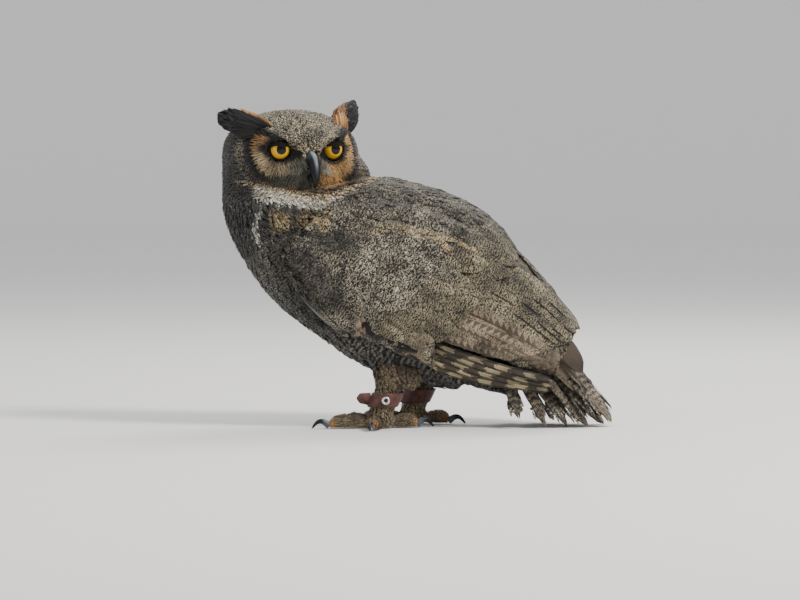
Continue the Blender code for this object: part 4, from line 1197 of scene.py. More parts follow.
def drawnSpines(spec, side, tree):
    # spines over the bird's side, from a line of roots to a line of tips in side view;
    # past the edge of the surface they go on the way that they came
    sign = -1 if side == "left" else 1
    count, steps = spec["count"], spec["steps"]
    shares = np.linspace(0, 1, count)
    roots = curveRows(spec["roots"], shares)
    tips = curveRows(spec["tips"], shares) + rng.normal(0, 1, (count, 2)) * spec["wander"]
    across = np.stack([-(tips - roots)[:, 1], (tips - roots)[:, 0]], 1)
    bow = across * np.linspace(*spec["bow"], count)[:, None]
    places = np.empty((steps + 1, count, 3))
    normals = np.empty((steps + 1, count, 3))
    for k in range(steps + 1):
        u = k / steps
        flat = roots + (tips - roots) * u + bow * math.sin(math.pi * u)
        for n, (x, z) in enumerate(flat):
            if spec["depthLine"]:
                start, end = spec["depthLine"]
                found = (x, sign * (start + (end - start) * u), z), (0.0, 0.80 * sign, 0.60)
            else:
                found = castOnto(tree, x, z, sign)
            if found is None and (k == 0 or tree is not formTree):
                place, normal, face, _distance = tree.find_nearest((x, sign * wingBeside, z))
                if tree is formTree:
                    found = tuple(place), faceNormals[face]
                else:
                    found = (x, place.y, z), normals[k - 1, n] if k else tuple(normal)
            elif found is None:
                before, earlier = places[k - 1, n, 1], places[max(k - 2, 0), n, 1]
                found = (x, before + (before - earlier), z), normals[k - 1, n]
            places[k, n], normals[k, n] = found
    return finishSpines(places, normals, spec["rootSink"])


def finishSpines(places, normals, sink, rounds=3):
    for _ in range(rounds):
        for rows in (places, normals):
            rows[1:-1] = rows[1:-1] * 0.5 + (rows[:-2] + rows[2:]) * 0.25
    normals = unit(normals)
    ahead = unit(np.gradient(places, axis=0))
    normals = ontoSurface(normals, ahead)
    return {"place": places, "normal": normals, "ahead": ahead,
            "depth": np.full(places.shape[1], sink)}


def spineLengths(spines):
    return np.linalg.norm(np.diff(spines["place"], axis=0), axis=2).sum(0)


# Rows on the folded wing, lowest feather first: lines in the side view, root to tip.
rowUsual = {"steps": 14, "camber": 0.12, "tip": 0.42, "base": 0.6, "ragged": 0.05,
            "slide": 0.05, "twist": 0.05, "wander": 0.0015, "bow": (0.05, 0.05),
            "rootDepth": 1.0, "rootSink": 0.002, "depthLine": None, "onNode": "",
            "replaces": "", "slot": "plumage_dark", "mark": "rearPale", "markEnd": "",
            "shades": (1, 1), "barring": 0.0, "wormLength": 3.0, "darkEdge": 0.0,
            "rootShade": 0.5, "fringe": 0.0}
wingRows = {
    "tertials": {"count": 4, "width": 30.0, "camber": 0.06, "tip": 0.4, "ragged": 0.03,
        "slide": 0.03, "twist": 0.02, "fray": 0.004, "roots": [(0.104, 0.112), (0.118, 0.128)],
        "tips": [(0.148, 0.05), (0.163, 0.05), (0.181, 0.056), (0.197, 0.064)],
        "bow": (0.06, 0.1), "lifts": (-2.4, -0.6), "depthLine": (0.046, 0.028),
        # the tertials darken towards the back as painted shade
        "ground": "smoothBrown", "mark": "smoothBrown", "shades": (1.15, 0.6), "coverage": 0.4,
        "wormLength": 8.0, "barLength": 9.0, "darkEdge": 0.12, "rootShade": 0.4,
        "barbStrength": 0.7},
    "secondaries": {"count": 7, "width": 24.0, "steps": 26, "camber": 0.08, "tip": 0.16,
        "base": 0.7, "ragged": 0.04, "twist": 0.03, "fray": 0.004,
        "roots": [(0.002, 0.1235), (0.03, 0.157)],
        "tips": [(0.112, 0.085), (0.136, 0.087), (0.16, 0.095)], "bow": (0.02, 0.05),
        "lifts": (0.4, 1.8), "replaces": "secondaries", "slot": "plumage_barred",
        "ground": "toothBrown", "mark": "toothPale", "shades": (1.05, 0.95), "coverage": 0.46,
        "barLength": 8.6, "edgeBars": 1.0, "rootShade": 0.1, "barbStrength": 0.3},
    "innerSecondaries": {"count": 7, "width": 23.0, "steps": 26, "camber": 0.1, "tip": 0.14,
        "base": 0.7, "ragged": 0.04, "twist": 0.03, "fray": 0.004, "wander": 0.0008,
        "roots": [(0.036, 0.164), (0.074, 0.208)],
        "tips": [(0.163, 0.096), (0.178, 0.101), (0.19, 0.115)], "bow": (0.05, 0.07),
        "lifts": (2.0, 3.4), "slot": "plumage_barred", "ground": "rearDark",
        "shades": (0.86, 0.62), "coverage": 0.44, "wormLength": 3.6, "darkEdge": 0.34,
        "rootShade": 0.15, "barbStrength": 0.3},
    "primaries": {"count": 5, "width": 9.6, "steps": 26, "camber": 0.14, "tip": 0.12,
        "base": 0.8, "ragged": 0.03, "slide": 0.03, "twist": 0.02, "fray": 0.003,
        "wander": 0.0006, "roots": [(0.018, 0.0715), (0.02, 0.1005)],
        "tips": [(0.146, 0.0445), (0.158, 0.045), (0.16, 0.056)], "bow": (-0.03, -0.02),
        "lifts": (-1.6, 1.2), "onNode": "primaries", "replaces": "primaries",
        "slot": "plumage_barred", "ground": "rearBrown", "mark": "quillCream", "coverage": 0.42,
        "barring": 1.0, "wormLength": 2.3, "barLength": 34.0, "barBend": -1.2, "darkEdge": 1.0,
        "rootShade": 0.0, "barbStrength": 0.3},
    "greaterCoverts": {"count": 15, "width": 18.0, "camber": 0.14, "tip": 0.36, "wander": 0.002,
        "roots": [(-0.026, 0.122), (0.0, 0.152), (0.04, 0.196), (0.06, 0.212)],
        "tips": [(0.028, 0.102), (0.05, 0.124), (0.08, 0.152), (0.108, 0.18), (0.122, 0.196)],
        "lifts": (1.2, 2.8), "ground": "rearDark", "shades": (0.9, 0.68), "coverage": 0.44,
        "darkEdge": 0.12, "rootShade": 0.45, "fringe": 0.35},
    "middleCoverts": {"count": 13, "width": 16.0, "steps": 12, "camber": 0.14, "ragged": 0.06,
        "slide": 0.06, "twist": 0.06, "wander": 0.003,
        "roots": [(-0.036, 0.136), (-0.012, 0.168), (0.022, 0.2)],
        "tips": [(0.004, 0.118), (0.03, 0.146), (0.06, 0.172), (0.084, 0.19)],
        "lifts": (1.4, 2.8), "ground": "backDark", "shades": (0.92, 0.85), "coverage": 0.46,
        "darkEdge": 0.06, "fringe": 0.5},
    "handCoverts": {"count": 6, "width": 12.0, "steps": 12, "tip": 0.3, "base": 0.7,
        "ragged": 0.03, "slide": 0.03, "twist": 0.03, "wander": 0.001,
        "roots": [(-0.038, 0.09), (-0.03, 0.112)],
        "tips": [(0.012, 0.074), (0.0215, 0.08), (0.0225, 0.093), (0.021, 0.105)],
        "bow": (0.06, 0.03), "lifts": (0.8, 2.4), "slot": "plumage_barred",
        "ground": "smoothBrown", "coverage": 0.42, "barLength": 9.0, "darkEdge": 0.06,
        "rootShade": 0.3, "fringe": 0.4},
    "lobeCoverts": {"count": 6, "width": 15.0, "steps": 10, "wander": 0.002,
        "roots": [(-0.066, 0.127), (-0.058, 0.15)],
        "tips": [(-0.018, 0.108), (-0.002, 0.107), (0.012, 0.115)], "bow": (0.1, 0.04),
        "lifts": (2.0, 3.6), "ground": "rearDark", "coverage": 0.48, "barring": 0.15,
        "wormLength": 2.6, "darkEdge": 0.06, "fringe": 0.7},
    "alula": {"count": 3, "width": 13.0, "tip": 0.26, "thick": 0.0005, "ragged": 0.04,
        "slide": 0.03, "twist": 0.03, "wander": 0.0006,
        "roots": [(-0.136, 0.166), (-0.126, 0.164)],
        "tips": [(-0.078, 0.109), (-0.067, 0.108), (-0.062, 0.116), (-0.063, 0.127)],
        "bow": (-0.04, 0.02), "lifts": (3.2, 4.6), "slot": "plumage_buff", "ground": "backDark",
        "mark": "backPale", "coverage": 0.36, "wormLength": 3.2, "barLength": 5.0,
        "barBend": -0.2, "rootShade": 0.8, "fringe": 1.0},
    "leadingEdge": {"count": 1, "width": 2.0, "steps": 24, "camber": 0.3, "tip": 0.2,
        "base": 0.5, "thick": 0.0005, "slide": 0.03, "twist": 0.02, "wander": 0.0002,
        "roots": [(-0.1575, 0.1965), (-0.156, 0.1965)],
        "tips": [(-0.08, 0.1085), (-0.0785, 0.1095)], "bow": (-0.075, -0.075),
        "lifts": (2.4, 2.4), "rootSink": -0.0018, "slot": "plumage_buff", "ground": "edgeGrey",
        "mark": "edgeGrey", "coverage": 0.5, "wormLength": 2.3, "rootShade": 0.6},
    "shoulderLine": {"count": 14, "width": 5.8, "steps": 12, "camber": 0.1, "base": 0.5,
        "ragged": 0.12, "wander": 0.0016,
        "roots": [(-0.052, 0.24), (-0.02, 0.2395), (0.016, 0.231), (0.05, 0.22)],
        "tips": [(-0.028, 0.2375), (0.004, 0.2325), (0.038, 0.2215), (0.07, 0.208)],
        "lifts": (1.8, 3.2), "ground": "rearDark", "mark": "legPale", "markEnd": "throatOrange",
        "shades": (0.9, 1.0), "coverage": 0.6, "rootShade": 0.35, "fringe": 0.6},
    "longScapulars": {"count": 9, "width": 20.0, "base": 0.5, "ragged": 0.07, "slide": 0.06,
        "roots": [(0.004, 0.208), (0.03, 0.232), (0.06, 0.234)],
        "tips": [(0.06, 0.19), (0.09, 0.192), (0.11, 0.199), (0.117, 0.204)],
        "lifts": (1.6, 3.2), "ground": "backDark", "shades": (0.78, 0.66), "coverage": 0.46,
        "barring": 0.15, "wormLength": 3.4, "darkEdge": 0.1, "fringe": 0.5},
}
wingRows = {label: {**rowUsual, **row} for label, row in wingRows.items()}


def buildWingRow(label, spec, side, material):
    tree = solidTree([f"{spec['onNode']}_{side}"]) if spec["onNode"] else formTree
    spines = drawnSpines(spec, side, tree)
    count = spec["count"]
    widths = np.full(count, spec["width"] * mm) * (1 + 0.05 * rng.normal(0, 1, count))
    lifts = np.linspace(*spec["lifts"], count) * mm
    vanes = layVanes(spec, spines, spineLengths(spines), widths, lifts, rng.random(count))
    shade = np.linspace(*spec["shades"], count)[:, None]
    shade = shade * (1 + 0.10 * rng.normal(0, 1, (count, 1)))
    mark = plumage[spec["mark"]] * shade
    if spec["markEnd"]:
        mark = blend(mark, plumage[spec["markEnd"]] * shade, np.linspace(0, 1, count) ** 2)
    pattern = np.tile([spec["coverage"], spec["barring"], 0.0], (count, 1))
    pattern[:, 2] = rng.random(count) * 7
    replaced = [f"{spec['replaces']}_{side}"] if spec["replaces"] else ()
    coatPiece(f"{label}{side.capitalize()}", vanes, (plumage[spec["ground"]] * shade, mark),
              pattern, material, replaced)


def buildWingRows():
    materials = {label: featherMaterial(f"{label}Vanes", wingRows[label]) for label in wingRows}
    for side in ("left", "right"):
        for label, spec in wingRows.items():
            buildWingRow(label, spec, side, materials[label])


def nodeSpine(name, steps):
    # middle line and upper side of a long feather, from its solid
    rows = np.unique(np.round([v.co[:] for v in nodes[name].data.vertices], 6), axis=0)
    middle = rows.mean(0)
    axis = np.linalg.svd(rows - middle)[2][0]
    axis = axis if axis[0] > 0 else -axis
    along = (rows - middle) @ axis
    fits = [np.polyfit(along, rows[:, k], 3) for k in range(3)]
    at = np.linspace(along.min(), along.max(), steps + 1)
    spine = np.stack([np.polyval(fit, at) for fit in fits], 1)
    rest = rows - np.stack([np.polyval(fit, along) for fit in fits], 1)
    normal = np.cross(np.linalg.svd(rest)[2][0], axis)
    return spine, normal if normal[2] > 0 else -normal


# Tail feathers from the middle pair outwards: width (mm), how far each leans to the side and
# its tone. Worn barbs, the wisps, hang apart at their ends.
tail = {"steps": 30, "camber": 0.06, "thick": 0.0005, "tip": 0.60, "base": 0.55,
        "ragged": 0.05, "slide": 0.06, "twist": 0.03, "fray": 0.07,
        "widths": [42.0, 34.0, 28.0, 23.0, 20.0, 18.0], "lean": [0.35, 0.6, 0.7, 0.6, 0.5, 0.5],
        "tones": [1.0, 0.95, 0.85, 0.75, 0.68, 0.62], "pattern": [0.40, 0.45, 0.3],
        "barLength": 15.0, "barBend": -0.4, "wormLength": 3.0, "rootShade": 0.2, "fringe": 0.3,
        "darkEdge": 0.3}
wisp = {"steps": 6, "section": "slim", "camber": 0.2, "thick": 0.0003, "tip": 0.5, "base": 0.5,
        "ragged": 0.15, "slide": 0.2, "twist": 0.2, "width": 4.2, "each": 6, "across": 0.42,
        "start": (0.70, 0.84), "end": (0.90, 1.0), "fan": 1.15, "lift": 0.6,
        "pattern": [0.36, 0.0, 0.5], "wormLength": 6.0, "fringe": 0.9, "rootShade": 0.4}


def buildWisps(spines, side, material):
    # short barbs over the last third of each tail feather, fanned out across it
    count, each, steps = len(tail["widths"]), wisp["each"], wisp["steps"]
    total = count * each
    feather = np.repeat(np.arange(count), each)
    spread = np.tile(np.linspace(-wisp["across"], wisp["across"], each), count)
    start = rng.uniform(*wisp["start"], total)
    reach = rng.uniform(*wisp["end"], total) - 0.10 * np.abs(spread)
    at = (start + (reach - start) * np.linspace(0, 1, steps + 1)[:, None]) * tail["steps"]
    low = np.minimum(at.astype(int), tail["steps"] - 1)
    part = (at - low)[..., None]
    place, normal, across = (
        rows[low, feather] * (1 - part) + rows[low + 1, feather] * part
        for rows in (spines["place"], spines["normal"],
                     unit(np.cross(spines["ahead"], spines["normal"]))))
    fan = spread * np.array(tail["widths"])[feather] * mm
    fan = fan * np.linspace(1.0, wisp["fan"], steps + 1)[:, None]
    height = rng.normal(0, wisp["lift"], total) * mm
    place = place + across * fan[..., None] + normal * height[:, None]
    spines = finishSpines(place, normal, 0.0, 0)
    vanes = layVanes(wisp, spines, spineLengths(spines),
                     wisp["width"] * mm * rng.uniform(0.7, 1.2, total), np.zeros(total),
                     rng.random(total))
    coatPiece(f"tailWisps{side.capitalize()}", vanes,
              (plumage["tailDark"], plumage["tailTip"] * 0.7), wisp["pattern"], material)


def buildTail():
    material, wispMaterial = featherMaterial("tailVanes", tail), featherMaterial("wispVanes", wisp)
    count = len(tail["widths"])
    for side, sign in (("left", -1.0), ("right", 1.0)):
        names = [f"tail_feather_{k}_{side}" for k in range(1, count + 1)]
        middles, facing = zip(*[nodeSpine(name, tail["steps"]) for name in names])
        lean = np.array(tail["lean"])[:, None] * (0.0, sign, 0.0)
        normals = np.tile(unit(np.array(facing) + lean), (tail["steps"] + 1, 1, 1))
        spines = finishSpines(np.stack(middles, 1), normals, 0.0)
        vanes = layVanes(tail, spines, spineLengths(spines), np.array(tail["widths"]) * mm,
                         np.zeros(count), rng.random(count))
        shade = (1 + 0.06 * rng.normal(0, 1, (count, 1))) * np.array(tail["tones"])[:, None]
        coatPiece(f"tail{side.capitalize()}", vanes,
                  (plumage["tailDark"] * shade, plumage["tailPale"] * shade), tail["pattern"],
                  material, names)
        buildWisps(spines, side, wispMaterial)


# Feathers laid over the tail's root, nearest the middle longest. Start and end are places
# along the bird: in the middle, and less for each layer and towards the sides.
rump = {"count": 11, "layers": 2, "steps": 12, "camber": 0.10, "tip": 0.38, "base": 0.6,
        "ragged": 0.05, "slide": 0.05, "twist": 0.05, "width": 17.0,
        "start": (0.112, 0.010, 0.004), "end": (0.214, 0.030, 0.040), "half": (0.028, 0.014),
        "lift": (0.002, 0.0015), "wormLength": 4.0, "barBend": -0.4, "rootShade": 0.4,
        "barbStrength": 0.6}


def buildRump():
    tree = solidTree([n for n in nodes if n.startswith("tail_feather")])
    count, steps, layers = rump["count"], rump["steps"], rump["layers"]
    total = count * layers
    layer = np.repeat(np.arange(layers), count)
    share = np.tile(np.linspace(-1, 1, count), layers) + 0.5 / count * layer
    middle, lessLayer, lessSide = rump["start"]
    start = middle - lessLayer * layer - lessSide * np.abs(share)
    middle, lessLayer, lessSide = rump["end"]
    end = middle - lessLayer * layer - lessSide * np.abs(share) ** 1.5
    places = np.empty((steps + 1, total, 3))
    for k in range(steps + 1):
        u = k / steps
        x = start + (end - start) * u
        y = share * (rump["half"][0] + rump["half"][1] * u)
        for n in range(total):
            cast = tree.ray_cast((x[n], y[n], 0.3), (0, 0, -1))
            z = cast[0].z if cast[0] else 0.09 - 0.5 * (x[n] - 0.12)
            places[k, n] = (x[n], y[n], z + rump["lift"][0] + rump["lift"][1] * layer[n])
    facing = unit(np.stack([np.full(total, 0.3), 0.5 * share, np.ones(total)], 1))
    spines = finishSpines(places, np.tile(facing, (steps + 1, 1, 1)), 0.0, 6)
    widths = rump["width"] * mm * (1 + 0.08 * rng.normal(0, 1, total))
    vanes = layVanes(rump, spines, spineLengths(spines), widths, np.zeros(total),
                     rng.random(total))
    shade = 1 + 0.07 * rng.normal(0, 1, (total, 1))
    pattern = np.tile([0.40, 0.10, 0.0], (total, 1))
    pattern[:, 2] = rng.random(total) * 7
    coatPiece("coatRump", vanes, (plumage["tailDark"] * shade, plumage["tailPale"] * 0.85 * shade),
              pattern, featherMaterial("rumpVanes", rump))


# Plumes of the ear tufts: lines of roots and of tips, in the head's own directions.
tufts = {
    "earTuftLeft": {
        "replaces": ["ear_tuft_left"], "count": 26, "ground": "tuftBlack", "mark": "neckDark",
        "width": 3.6,
        "roots": [(0.0560, 0.022, 0.3450), (0.0640, 0.018, 0.3430)],
        "tips": [(0.0660, 0.012, 0.3745), (0.0700, 0.008, 0.3815), (0.0755, 0.004, 0.3845),
                 (0.0800, 0.006, 0.3790), (0.0825, 0.008, 0.3700), (0.0815, 0.010, 0.3620)]},
    "earTuftRight": {
        "replaces": ["ear_tuft_right"], "count": 38, "ground": "tuftBlack", "mark": "neckDark",
        "width": 3.8,
        "roots": [(-0.0380, 0.038, 0.3520), (-0.0520, 0.032, 0.3440)],
        "tips": [(-0.0830, 0.020, 0.3765), (-0.0945, 0.018, 0.3755), (-0.0930, 0.016, 0.3700),
                 (-0.0985, 0.016, 0.3660), (-0.0955, 0.016, 0.3570), (-0.0840, 0.018, 0.3470),
                 (-0.0740, 0.020, 0.3400)]},
    "tuftFringeLeft": {
        "replaces": [], "count": 24, "ground": "rufousDark", "mark": "rufous", "width": 2.8,
        "roots": [(0.0400, 0.033, 0.3510), (0.0590, 0.028, 0.3470)],
        "tips": [(0.0430, 0.026, 0.3620), (0.0465, 0.023, 0.3670), (0.0520, 0.020, 0.3725),
                 (0.0580, 0.017, 0.3750), (0.0600, 0.016, 0.3690)]},
    "tuftFringeRight": {
        "replaces": [], "count": 26, "ground": "rufousDark", "mark": "rufous", "width": 2.6,
        "roots": [(-0.0380, 0.037, 0.3540), (-0.0640, 0.028, 0.3680)],
        "tips": [(-0.0430, 0.031, 0.3600), (-0.0500, 0.028, 0.3665), (-0.0600, 0.026, 0.3715),
                 (-0.0720, 0.022, 0.3755)]},
}
# how all plumes are made; the feathers of a tuft lie in layers (mm) over one another
plume = {"steps": 9, "camber": 0.16, "tip": 0.45, "base": 0.55, "ragged": 0.10, "slide": 0.12,
         "twist": 0.25, "barbStrength": 0.5, "fringe": 0.0, "rootShade": 0.3,
         "layers": [1.8, -1.4, 0.4], "bulge": 0.0035}


def buildTufts():
    material = featherMaterial("plumeVanes", plume)
    facing = headDirections()[1]
    for label, spec in tufts.items():
        count, steps = spec["count"], plume["steps"]
        shares = np.linspace(0, 1, count)
        roots = headPlace(*curveRows(spec["roots"], shares).T)
        tips = headPlace(*curveRows(spec["tips"], shares).T)
        tips = roots + (tips - roots) * rng.uniform(0.86, 1.0, count)[:, None]
        depth = np.resize(plume["layers"], count) * mm
        places = np.empty((steps + 1, count, 3))
        for k in range(steps + 1):
            u = k / steps
            bow = math.sin(math.pi * u)
            rise = plume["bulge"] * bow + depth * (0.4 + 0.6 * bow)
            places[k] = roots + (tips - roots) * u + facing * rise[:, None]
        normals = np.tile(facing, (steps + 1, count, 1)) + rng.normal(0, 0.12, (1, count, 3))
        spines = finishSpines(places, unit(normals), 0.0, 1)
        widths = spec["width"] * mm * (1 + 0.12 * rng.normal(0, 1, count))
        vanes = layVanes(plume, spines, spineLengths(spines), widths, np.zeros(count),
                         rng.random(count))
        fringe = not spec["replaces"]
        shade = np.clip(1 + (0.35 if fringe else 0.1) * rng.normal(0, 1, (count, 1)), 0.3, 2)
        coatPiece(label, vanes, (plumage[spec["ground"]] * shade, plumage[spec["mark"]] * shade),
                  [0.7 if fringe else 0.4, 0.0, 0.5], material,
                  spec["replaces"])


def ringPiece(name, rows, material, replaced=(), label="", marks=()):
    # a closed piece over rings of places, with an attribute that its material reads
    mesh = gridMesh(name, rows)
    if label:
        setAttribute(mesh, label, "FLOAT_VECTOR", np.concatenate(marks))
    closeMesh(mesh)
    addPiece(name, mesh, material, replaced)


# Angles of pupil and iris in degrees from the line of sight. The cornea bulges over the iris.
eye = {"pupil": 25.0, "iris": 60.0, "bulge": 0.0007, "under": 0.0002, "segments": 64,
       "rings": 48, "outward": 0.10, "down": 0.04,
       "yellow": tint("#d6a914"), "amber": tint("#a9740f"), "rim": tint("#1c140c")}


def eyeMaterial():
    material, tree, shader = newMaterial("eyeWet", {
        "Roughness": 0.14, "Coat Weight": 0.2, "Coat Roughness": 0.02,
        "Specular IOR Level": 0.15})
    angle, around, _ = splitNode(tree, attributeNode(tree, "gaze"))
    fibres = combineNode(tree, times(tree, angle, 0.05), around, 0.0)
    fibres = noiseNode(tree, fibres, 9.0, 4.0, 0.6)
    fleck = noiseNode(tree, objectPlace(tree), 900.0, 2.0)
    depth = stepNode(tree, angle, eye["pupil"] + 2, eye["iris"])
    iris = mixNode(tree, stepNode(tree, fibres, 0.35, 0.70), eye["yellow"], eye["amber"])
    iris = mixNode(tree, times(tree, depth, 0.35), iris, eye["amber"] * 0.8)
    iris = mixNode(tree, stepNode(tree, fleck, 0.62, 0.75, 0.0, 0.35), iris, eye["yellow"] * 1.2)
    rimmed = mixNode(tree, stepNode(tree, angle, eye["iris"] - 5, eye["iris"]), iris, eye["rim"])
    edge = stepNode(tree, angle, eye["pupil"] - 1.2, eye["pupil"] + 0.6)
    tree.links.new(mixNode(tree, edge, (0.002, 0.002, 0.002), rimmed), shader.inputs["Base Color"])
    return material


def gazeFrame(sign):
    # the eye looks forward, a little outward; directions out, up and ahead
    left, forward, up = headDirections()
    ahead = unit(forward + left * sign * eye["outward"] - up * eye["down"])
    out = unit(left * sign - ahead * (left * sign @ ahead))
    return out, np.cross(ahead, out) * sign, ahead


def ballPlace(sign, angle, around, radius):
    # a place over the eyeball; around runs from the outer corner up over the top
    out, up, ahead = gazeFrame(sign)
    centre = headPlace(sign * head["eyeSide"], head["eyeForward"], head["eyeHeight"])
    angle, around = np.radians(angle), np.asarray(around)
    ring = out * np.cos(around)[..., None] + up * np.sin(around)[..., None]
    return centre + (ahead * np.cos(angle)[..., None] + ring * np.sin(angle)[..., None]) \
        * np.asarray(radius)[..., None]


def buildEyes():
    material = eyeMaterial()
    angles = np.linspace(0.4, 179.5, eye["rings"])
    turns = turnsOf(eye["segments"])
    radii = head["eyeRadius"] - eye["under"] + eye["bulge"] * ease(62, 35, angles)
    for side, sign in (("left", 1), ("right", -1)):
        rows = [ballPlace(sign, angle, turns, radius) for angle, radius in zip(angles, radii)]
        gaze = [inColumns(angle, turns, 0.0) for angle in angles]
        ringPiece(f"eye{side.capitalize()}", rows, material, [f"eye_{side}"],
                  "gaze", gaze)


# The lids' opening, in degrees from the line of sight, at the corners, top and bottom, and how
# far the brow cuts it down. Over and under are rings of the lid: degrees out from the opening
# and millimetres over the eyeball.
lids = {"corner": 62.0, "top": 11.0, "bottom": 56.0, "slope": 8.0, "rounds": 72,
        "over": [(1.5, -0.6), (-0.8, 0.2), (-1.6, 0.7), (-0.4, 1.3), (2.5, 1.3), (7.0, 0.9),
                 (14.0, 0.8), (30.0, 0.6), (50.0, 0.3), (66.0, -1.2)],
        "under": [(66.0, -1.6), (30.0, -1.6), (14.0, -1.6), (1.5, -1.6)], "wrinkle": 0.12,
        "dark": tint("#070606"), "pale": tint("#171310")}


def lidEdge(around):
    up = np.sin(around)
    low = lids["corner"] + (lids["bottom"] - lids["corner"]) * np.clip(-up, 0, 1) ** 1.4
    high = (lids["top"] - lids["corner"]) * ease(-0.10, 1.05, up)
    # the brow cuts the opening down towards the bill
    return low + high - lids["slope"] * ease(-0.6, 1.0, -np.cos(around)) * np.clip(up, 0, 1)


def buildLids():
    material, tree, shader = newMaterial("lidSkin", {"Roughness": 0.85,
                                                     "Specular IOR Level": 0.15})
    grain = noiseNode(tree, objectPlace(tree), 1400.0, 3.0)
    tree.links.new(mixNode(tree, grain, lids["dark"], lids["pale"]), shader.inputs["Base Color"])
    bumpInto(tree, shader, grain, 0.5, 0.0003)
    turns = turnsOf(lids["rounds"])
    edge = lidEdge(turns)
    radius = head["eyeRadius"] + eye["bulge"]
    for side, sign in (("left", 1), ("right", -1)):
        rows = []
        for inset, lift in lids["over"] + lids["under"]:
            wrinkle = lids["wrinkle"] * np.sin(turns * 17 + inset) * (lift > 0 and inset > 1)
            rows.append(ballPlace(sign, edge + inset, turns, radius + (lift + wrinkle) * mm))
        ringPiece(f"lids{side.capitalize()}", rows + rows[:1], material)


# Both halves of the bill from the face to the tip, in the head's directions.
bill = {
    "upper": {"forward": [0.052, 0.064, 0.0735, 0.0800, 0.0828, 0.0820, 0.0785],
              "height": [0.318, 0.318, 0.3145, 0.3070, 0.2970, 0.2885, 0.2825],
              "wide": [0.0068, 0.0078, 0.0076, 0.0066, 0.0051, 0.0032, 0.0010],
              "deep": [0.0080, 0.0082, 0.0079, 0.0070, 0.0056, 0.0040, 0.0018],
              "steps": 36, "sides": 28},
    "lower": {"forward": [0.052, 0.062, 0.0700, 0.0745],
              "height": [0.3010, 0.2980, 0.2940, 0.2900],
              "wide": [0.0054, 0.0053, 0.0044, 0.0026],
              "deep": [0.0040, 0.0038, 0.0031, 0.0016], "steps": 16, "sides": 20},
}


def smoothThrough(values, shares):
    # a smooth curve through evenly spaced values
    values = np.asarray(values, float)
    at = np.asarray(shares) * (len(values) - 1)
    index = np.clip(at.astype(int), 0, len(values) - 2)
    u = at - index
    ends = [values[np.clip(index + k, 0, len(values) - 1)] for k in (-1, 0, 1, 2)]
    slopeA, slopeB = (ends[2] - ends[0]) / 2, (ends[3] - ends[1]) / 2
    return (ends[1] * (2 * u**3 - 3 * u**2 + 1) + slopeA * (u**3 - 2 * u**2 + u)
            + ends[2] * (3 * u**2 - 2 * u**3) + slopeB * (u**3 - u**2))


# horn of bill and claws: colours of base and point, and the roughness
horns = {"bill": (tint("#454d55"), tint("#030303"), 0.34),
         "claw": (tint("#4a5058"), tint("#14171a"), 0.28)}


def hornMaterial(kind):
    base, point, roughness = horns[kind]
    material, tree, shader = newMaterial(f"{kind}Horn", {
        "Roughness": roughness, "Coat Weight": 0.05, "Coat Roughness": 0.2,
        "Specular IOR Level": 0.22})
    along, over, _ = splitNode(tree, attributeNode(tree, "horn"))
    growth = combineNode(tree, times(tree, along, 26.0), over, 0.0)
    growth = noiseNode(tree, growth, 1.6, 3.0)
    streak = combineNode(tree, times(tree, along, 2.0), times(tree, over, 9.0), 0.0)
    streak = noiseNode(tree, streak, 1.5, 2.0)
    colour = mixNode(tree, stepNode(tree, along, 0.18, 0.44), base, point)
    # a pale painted highlight along the top of the horn, towards its base
    ridgeHighlight = times(tree, stepNode(tree, over, 0.80, 1.0), stepNode(tree, along, 0.75, 0.20))
    colour = mixNode(tree, times(tree, ridgeHighlight, 0.62), colour, tint("#a3afbb"))
    colour = mixNode(tree, times(tree, streak, 0.16), colour, tint("#1d1b19"))
    tree.links.new(colour, shader.inputs["Base Color"])
    bumpInto(tree, shader, plus(tree, growth, streak), 0.25, 0.0003)
    return material


def buildBill():
    material = hornMaterial("bill")
    _left, forward, up = headDirections()
    for half, spec in bill.items():
        shares = np.linspace(0, 1, spec["steps"] + 1)
        reach, height, wide, deep = (smoothThrough(spec[key], shares)
                                     for key in ("forward", "height", "wide", "deep"))
        runs = unit(np.gradient(np.stack([reach, height], 1), axis=0))
        turns = turnsOf(spec["sides"])
        side, rise = np.cos(turns), np.sin(turns)
        # a narrow ridge above, flat cutting edges below
        across = side * (1 - 0.30 * np.clip(rise, 0, 1) ** 2)
        out = np.where(rise > 0, rise, rise * 0.9)
        rows = [headPlace(wide[k] * across, reach[k] - runs[k, 1] * deep[k] * out,
                          height[k] + runs[k, 0] * deep[k] * out) for k in range(len(shares))]
        horn = [inColumns(share, rise, side) for share in shares]
        # the last ring rounds the tip
        tip = rows[-1].mean(0)
        onward = (forward * runs[-1, 0] + up * runs[-1, 1]) * 0.0012
        rows.append(tip + (rows[-1] - tip) * 0.15 + onward)
        ringPiece(f"bill{half.capitalize()}", rows, material, [f"bill_{half}"],
                  "horn", horn + horn[-1:])


# rise and fall of each claw over the floor, its radius at the toe and at the point
claws = {"reach": 0.025, "radius": 0.0040, "point": 0.00035, "rise": 0.0058, "root": 0.00363,
         "end": 0.0016, "curl": 0.16, "sizes": {"outer": 0.9}, "steps": 22, "sides": 16}


